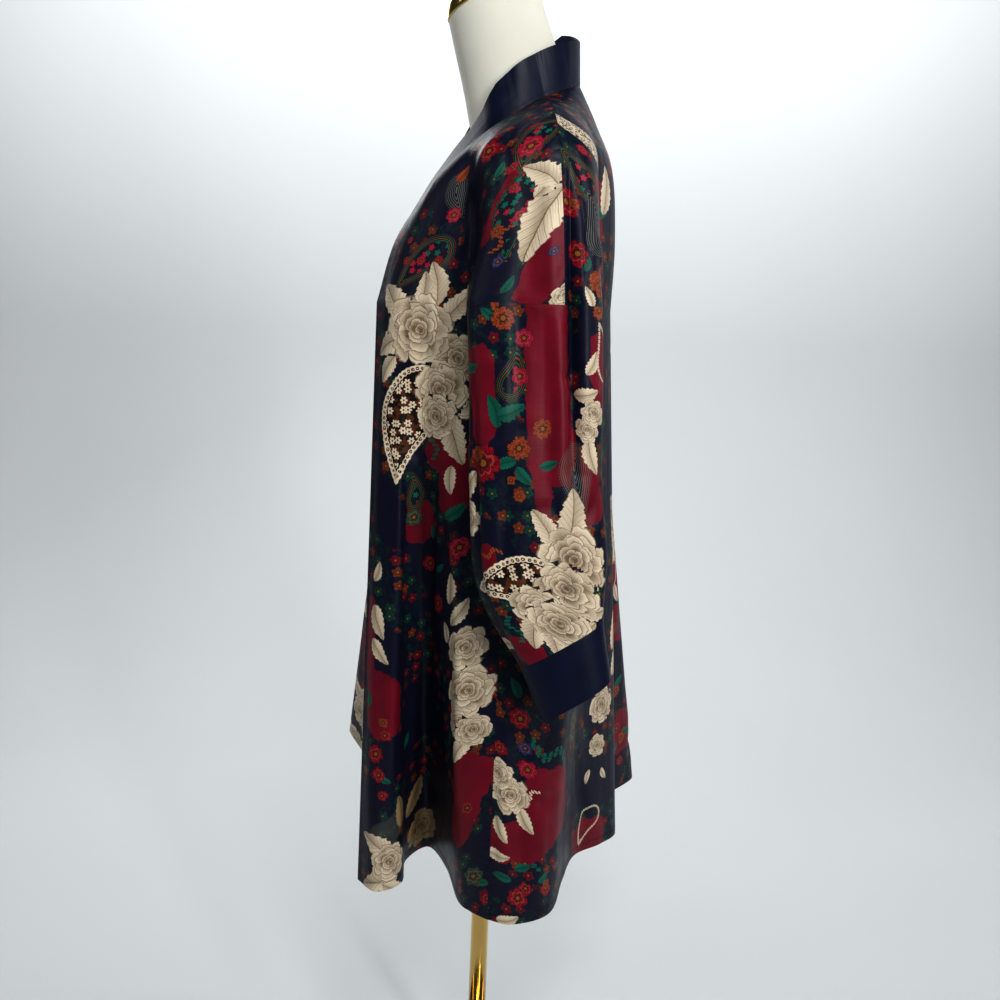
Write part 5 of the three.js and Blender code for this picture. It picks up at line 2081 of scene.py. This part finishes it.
@dataclass
class Stand:
    """The pole and its round base."""

    gold: bpy.types.Material

    def build(self) -> list:
        """Makes the pole and the base.

        Returns:
            The objects.
        """
        hub = BASE_HEIGHT + HUB_HEIGHT
        base = [(40, 0), (BASE_RADIUS - 1.5, 0), (BASE_RADIUS - 0.5, 0.5), (BASE_RADIUS, 1.5),
                (BASE_RADIUS, BASE_HEIGHT - 3), (BASE_RADIUS - 1.2, BASE_HEIGHT - 1),
                (BASE_RADIUS - 4, BASE_HEIGHT), (60, BASE_HEIGHT), (HUB_RADIUS + 3, BASE_HEIGHT + 0.3),
                (HUB_RADIUS + 0.6, BASE_HEIGHT + 1.4), (HUB_RADIUS, BASE_HEIGHT + 4),
                (HUB_RADIUS, BASE_HEIGHT + 21), (HUB_RADIUS - 1, BASE_HEIGHT + 24), (20, hub), (4, hub)]
        low, high = hub + STAND_GAP, FORM_BOTTOM_Z - STAND_GAP
        inner = POLE_RADIUS - POLE_BEVEL
        pole = [(4, low), (inner, low), (POLE_RADIUS, low + POLE_BEVEL), (POLE_RADIUS, 420),
                (POLE_RADIUS, high - POLE_BEVEL), (inner, high), (4, high)]
        angle = np.arange(ROUND_SIDES) * 2 * math.pi / ROUND_SIDES
        made = []
        for name, node, profile in (("base_gold", "stand_base", base), ("pole_gold", "stand_pole", pole)):
            rings = [np.stack([r * np.cos(angle), r * np.sin(angle), np.full_like(angle, z)], -1)
                     for r, z in profile]
            points, faces = loft(rings)
            part = mesh_object(name, points * MM, faces, [self.gold])
            edges = part.modifiers.new("edges", "EDGE_SPLIT")
            edges.split_angle = math.radians(METAL_EDGE_DEGREES)
            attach(part, "root")
            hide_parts(node)
            made.append(part)
        return made


@dataclass
class Stitching:
    """Fine stitches above the hem and beside the band's seam, joined in one mesh."""

    cloth: ClothPieces
    thread: bpy.types.Material
    length: float = 2.6
    pitch: float = 3.6
    half: float = 0.22
    lift: float = 0.62

    def lines(self) -> list:
        """Finds the lines that the stitches follow.

        Returns:
            For each, the places and the outward directions along it.
        """
        found = []
        for name, where in (("front_panel_left", "row"), ("front_panel_right", "row"), ("back_panel", "row"),
                            ("band_left", "column"), ("band_right", "column")):
            piece = self.cloth.robe.pieces[name]
            grid = piece.grids[0].points
            wanted = grid[-3] if where == "row" else grid[:, 1]
            tree = KDTree(len(piece.points))
            for number, point in enumerate(piece.points):
                tree.insert(point, number)
            tree.balance()
            numbers = [tree.find(point)[1] for point in wanted]
            found.append((self.cloth.places[name][numbers] / MM, self.cloth.robe.normals[name][numbers]))
        return found

    def build(self) -> bpy.types.Object:
        """Makes the stitches.

        Returns:
            The object.
        """
        points, faces = [], []
        for places, outward in self.lines():
            lengths = run_lengths(places)
            for start in np.arange(self.pitch, lengths[-1] - self.pitch, self.pitch):
                ends = [np.array([np.interp(at, lengths, places[:, k]) for k in range(3)])
                        for at in (start, start + self.length)]
                out = np.array([np.interp(start, lengths, outward[:, k]) for k in range(3)])
                way = ends[1] - ends[0]
                side = np.cross(out, way)
                side *= self.half / max(np.linalg.norm(side), 1e-9)
                up = out * self.half
                first = len(points)
                for end in ends:
                    middle = end + out * self.lift
                    points += [middle + side, middle + up, middle - side, middle - up]
                faces += [tuple(first + k for k in quad) for quad in (
                    (0, 1, 5, 4), (1, 2, 6, 5), (2, 3, 7, 6), (3, 0, 4, 7), (3, 2, 1, 0), (4, 5, 6, 7))]
        made = mesh_object("stitching", np.array(points) * MM, faces, [self.thread])
        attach(made, "root")
        log.info("stitching: %d stitches", len(faces) // 6)
        return made


# The sweep in metres
FLOOR_END_X = 2.2
WALL_X = -2.4
WALL_TOP = 6.0
SWEEP_RADIUS = 1.2
SWEEP_HALF = 3.2

# Each soft box: name, place, what it points at, width and height in metres, watts
SOFT_BOXES = (
    ("top_box", (1.7, 0.2, 2.7), (0.1, 0, 1.15), (0.7, 0.5), 21.0),
    ("strip_box", (2.0, 1.1, 1.6), (0.15, 0.05, 1.05), (0.22, 1.7), 24.0),
    ("front_box", (0.7, -2.3, 1.9), (0, -0.1, 1.1), (0.3, 1.6), 6.0),
    ("back_box", (-0.5, 2.2, 1.8), (0, 0, 1.1), (0.4, 1.4), 9.0),
    ("far_box", (-1.5, -1.0, 2.1), (0, 0, 1.1), (0.5, 1.3), 9.0),
    ("wall_box", (-0.9, 0.0, 3.2), (-2.4, 0, 1.3), (4.4, 0.6), 108.0),
)


@dataclass
class Studio:
    """The pale sweep, soft lights and the camera."""

    paper: bpy.types.Material
    world_strength: float = 0.07
    backdrop: tuple = srgb(194, 199, 201)
    exposure: float = 0.26
    contrast_gamma: float = 0.8

    def build(self) -> None:
        """Makes the stage, the lights and the camera."""
        self.sweep()
        self.lights()
        self.camera()

    def sweep(self) -> None:
        """Makes the floor that curves up into a back wall."""
        turn = np.linspace(0, math.pi / 2, 17)
        curve = [(WALL_X + SWEEP_RADIUS * (1 - math.sin(t)), SWEEP_RADIUS * (1 - math.cos(t))) for t in turn]
        profile = [(FLOOR_END_X, 0.0), *curve, (WALL_X, WALL_TOP)]
        points = [(x, y, z) for x, z in profile for y in (-SWEEP_HALF, SWEEP_HALF)]
        faces = [(2 * k, 2 * k + 1, 2 * k + 3, 2 * k + 2) for k in range(len(profile) - 1)]
        mesh_object("studio_sweep", np.array(points), faces, [self.paper])

    def lights(self) -> None:
        """Sets soft boxes round the robe, a wash on the wall, a dim sky and the picture's tone."""
        for name, place, aim, size, power in SOFT_BOXES:
            data = bpy.data.lights.new(name, "AREA")
            data.shape, data.size, data.size_y, data.energy = "RECTANGLE", size[0], size[1], power
            light = bpy.data.objects.new(name, data)
            light.location = place
            light.visible_camera = False
            light.visible_glossy = name != "wall_box"
            light.rotation_euler = (Vector(aim) - Vector(place)).to_track_quat("-Z", "Y").to_euler()
            bpy.context.scene.collection.objects.link(light)
        self.sky()
        tone = bpy.context.scene.view_settings
        tone.view_transform, tone.exposure, tone.gamma = "Standard", self.exposure, self.contrast_gamma

    def sky(self) -> None:
        """Sets a sky that lights dimly and shows as pale paper past the sweep's edges."""
        world = bpy.data.worlds.new("studio")
        bpy.context.scene.world = world
        world.use_nodes = True
        tree = world.node_tree
        dim = tree.nodes["Background"]
        dim.inputs[0].default_value = srgb(222, 228, 236)
        dim.inputs[1].default_value = self.world_strength
        pale = tree.nodes.new("ShaderNodeBackground")
        pale.inputs[0].default_value = self.backdrop
        seen = tree.nodes.new("ShaderNodeLightPath")
        both = tree.nodes.new("ShaderNodeMixShader")
        tree.links.new(seen.outputs["Is Camera Ray"], both.inputs[0])
        tree.links.new(dim.outputs[0], both.inputs[1])
        tree.links.new(pale.outputs[0], both.inputs[2])
        tree.links.new(both.outputs[0], tree.nodes["World Output"].inputs[0])

    def camera(self) -> None:
        """Sets the camera as the photo's was."""
        data = bpy.data.cameras.new("camera")
        data.lens, data.sensor_width = 36.0 * FOCAL_PIXELS / PHOTO_PIXELS, 36.0
        data.dof.use_dof = False
        made = bpy.data.objects.new("camera", data)
        right, up, view = photo_axes()
        turned = Matrix(np.array([right, up, -view]).T.tolist()).to_4x4()
        made.matrix_world = Matrix.Translation(CAMERA_PLACE) @ turned
        bpy.context.scene.collection.objects.link(made)
        bpy.context.scene.camera = made


def main() -> None:
    """Builds the robe, the form, the stand and the studio."""
    logging.basicConfig(level=logging.INFO, format="%(message)s")
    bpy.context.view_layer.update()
    studio = Studio(Backdrop().build("paper"))
    studio.build()
    gold = Gold().build("gold")
    form = DressForm(Jersey().build("jersey"), gold).build()
    for part in form + Stand(gold).build():
        log.info("%s: %d faces", part.name, len(part.data.polygons))
    robe = Robe()
    names = [name for name in robe.pieces if not name.startswith(("band", "cuff"))]
    printed = Print(robe, names)
    satin = PrintedSatin()
    groups = satin.groups()
    cloth = ClothPieces(robe, printed, satin.build("print_face", groups),
                        PrintedSatin(muted=True).build("print_reverse", groups),
                        PlainSatin().build("plain_satin"), form_surface(form[0]))
    cloth.build()
    Stitching(cloth, Thread().build("thread")).build()


if __name__ == "__main__":
    main()
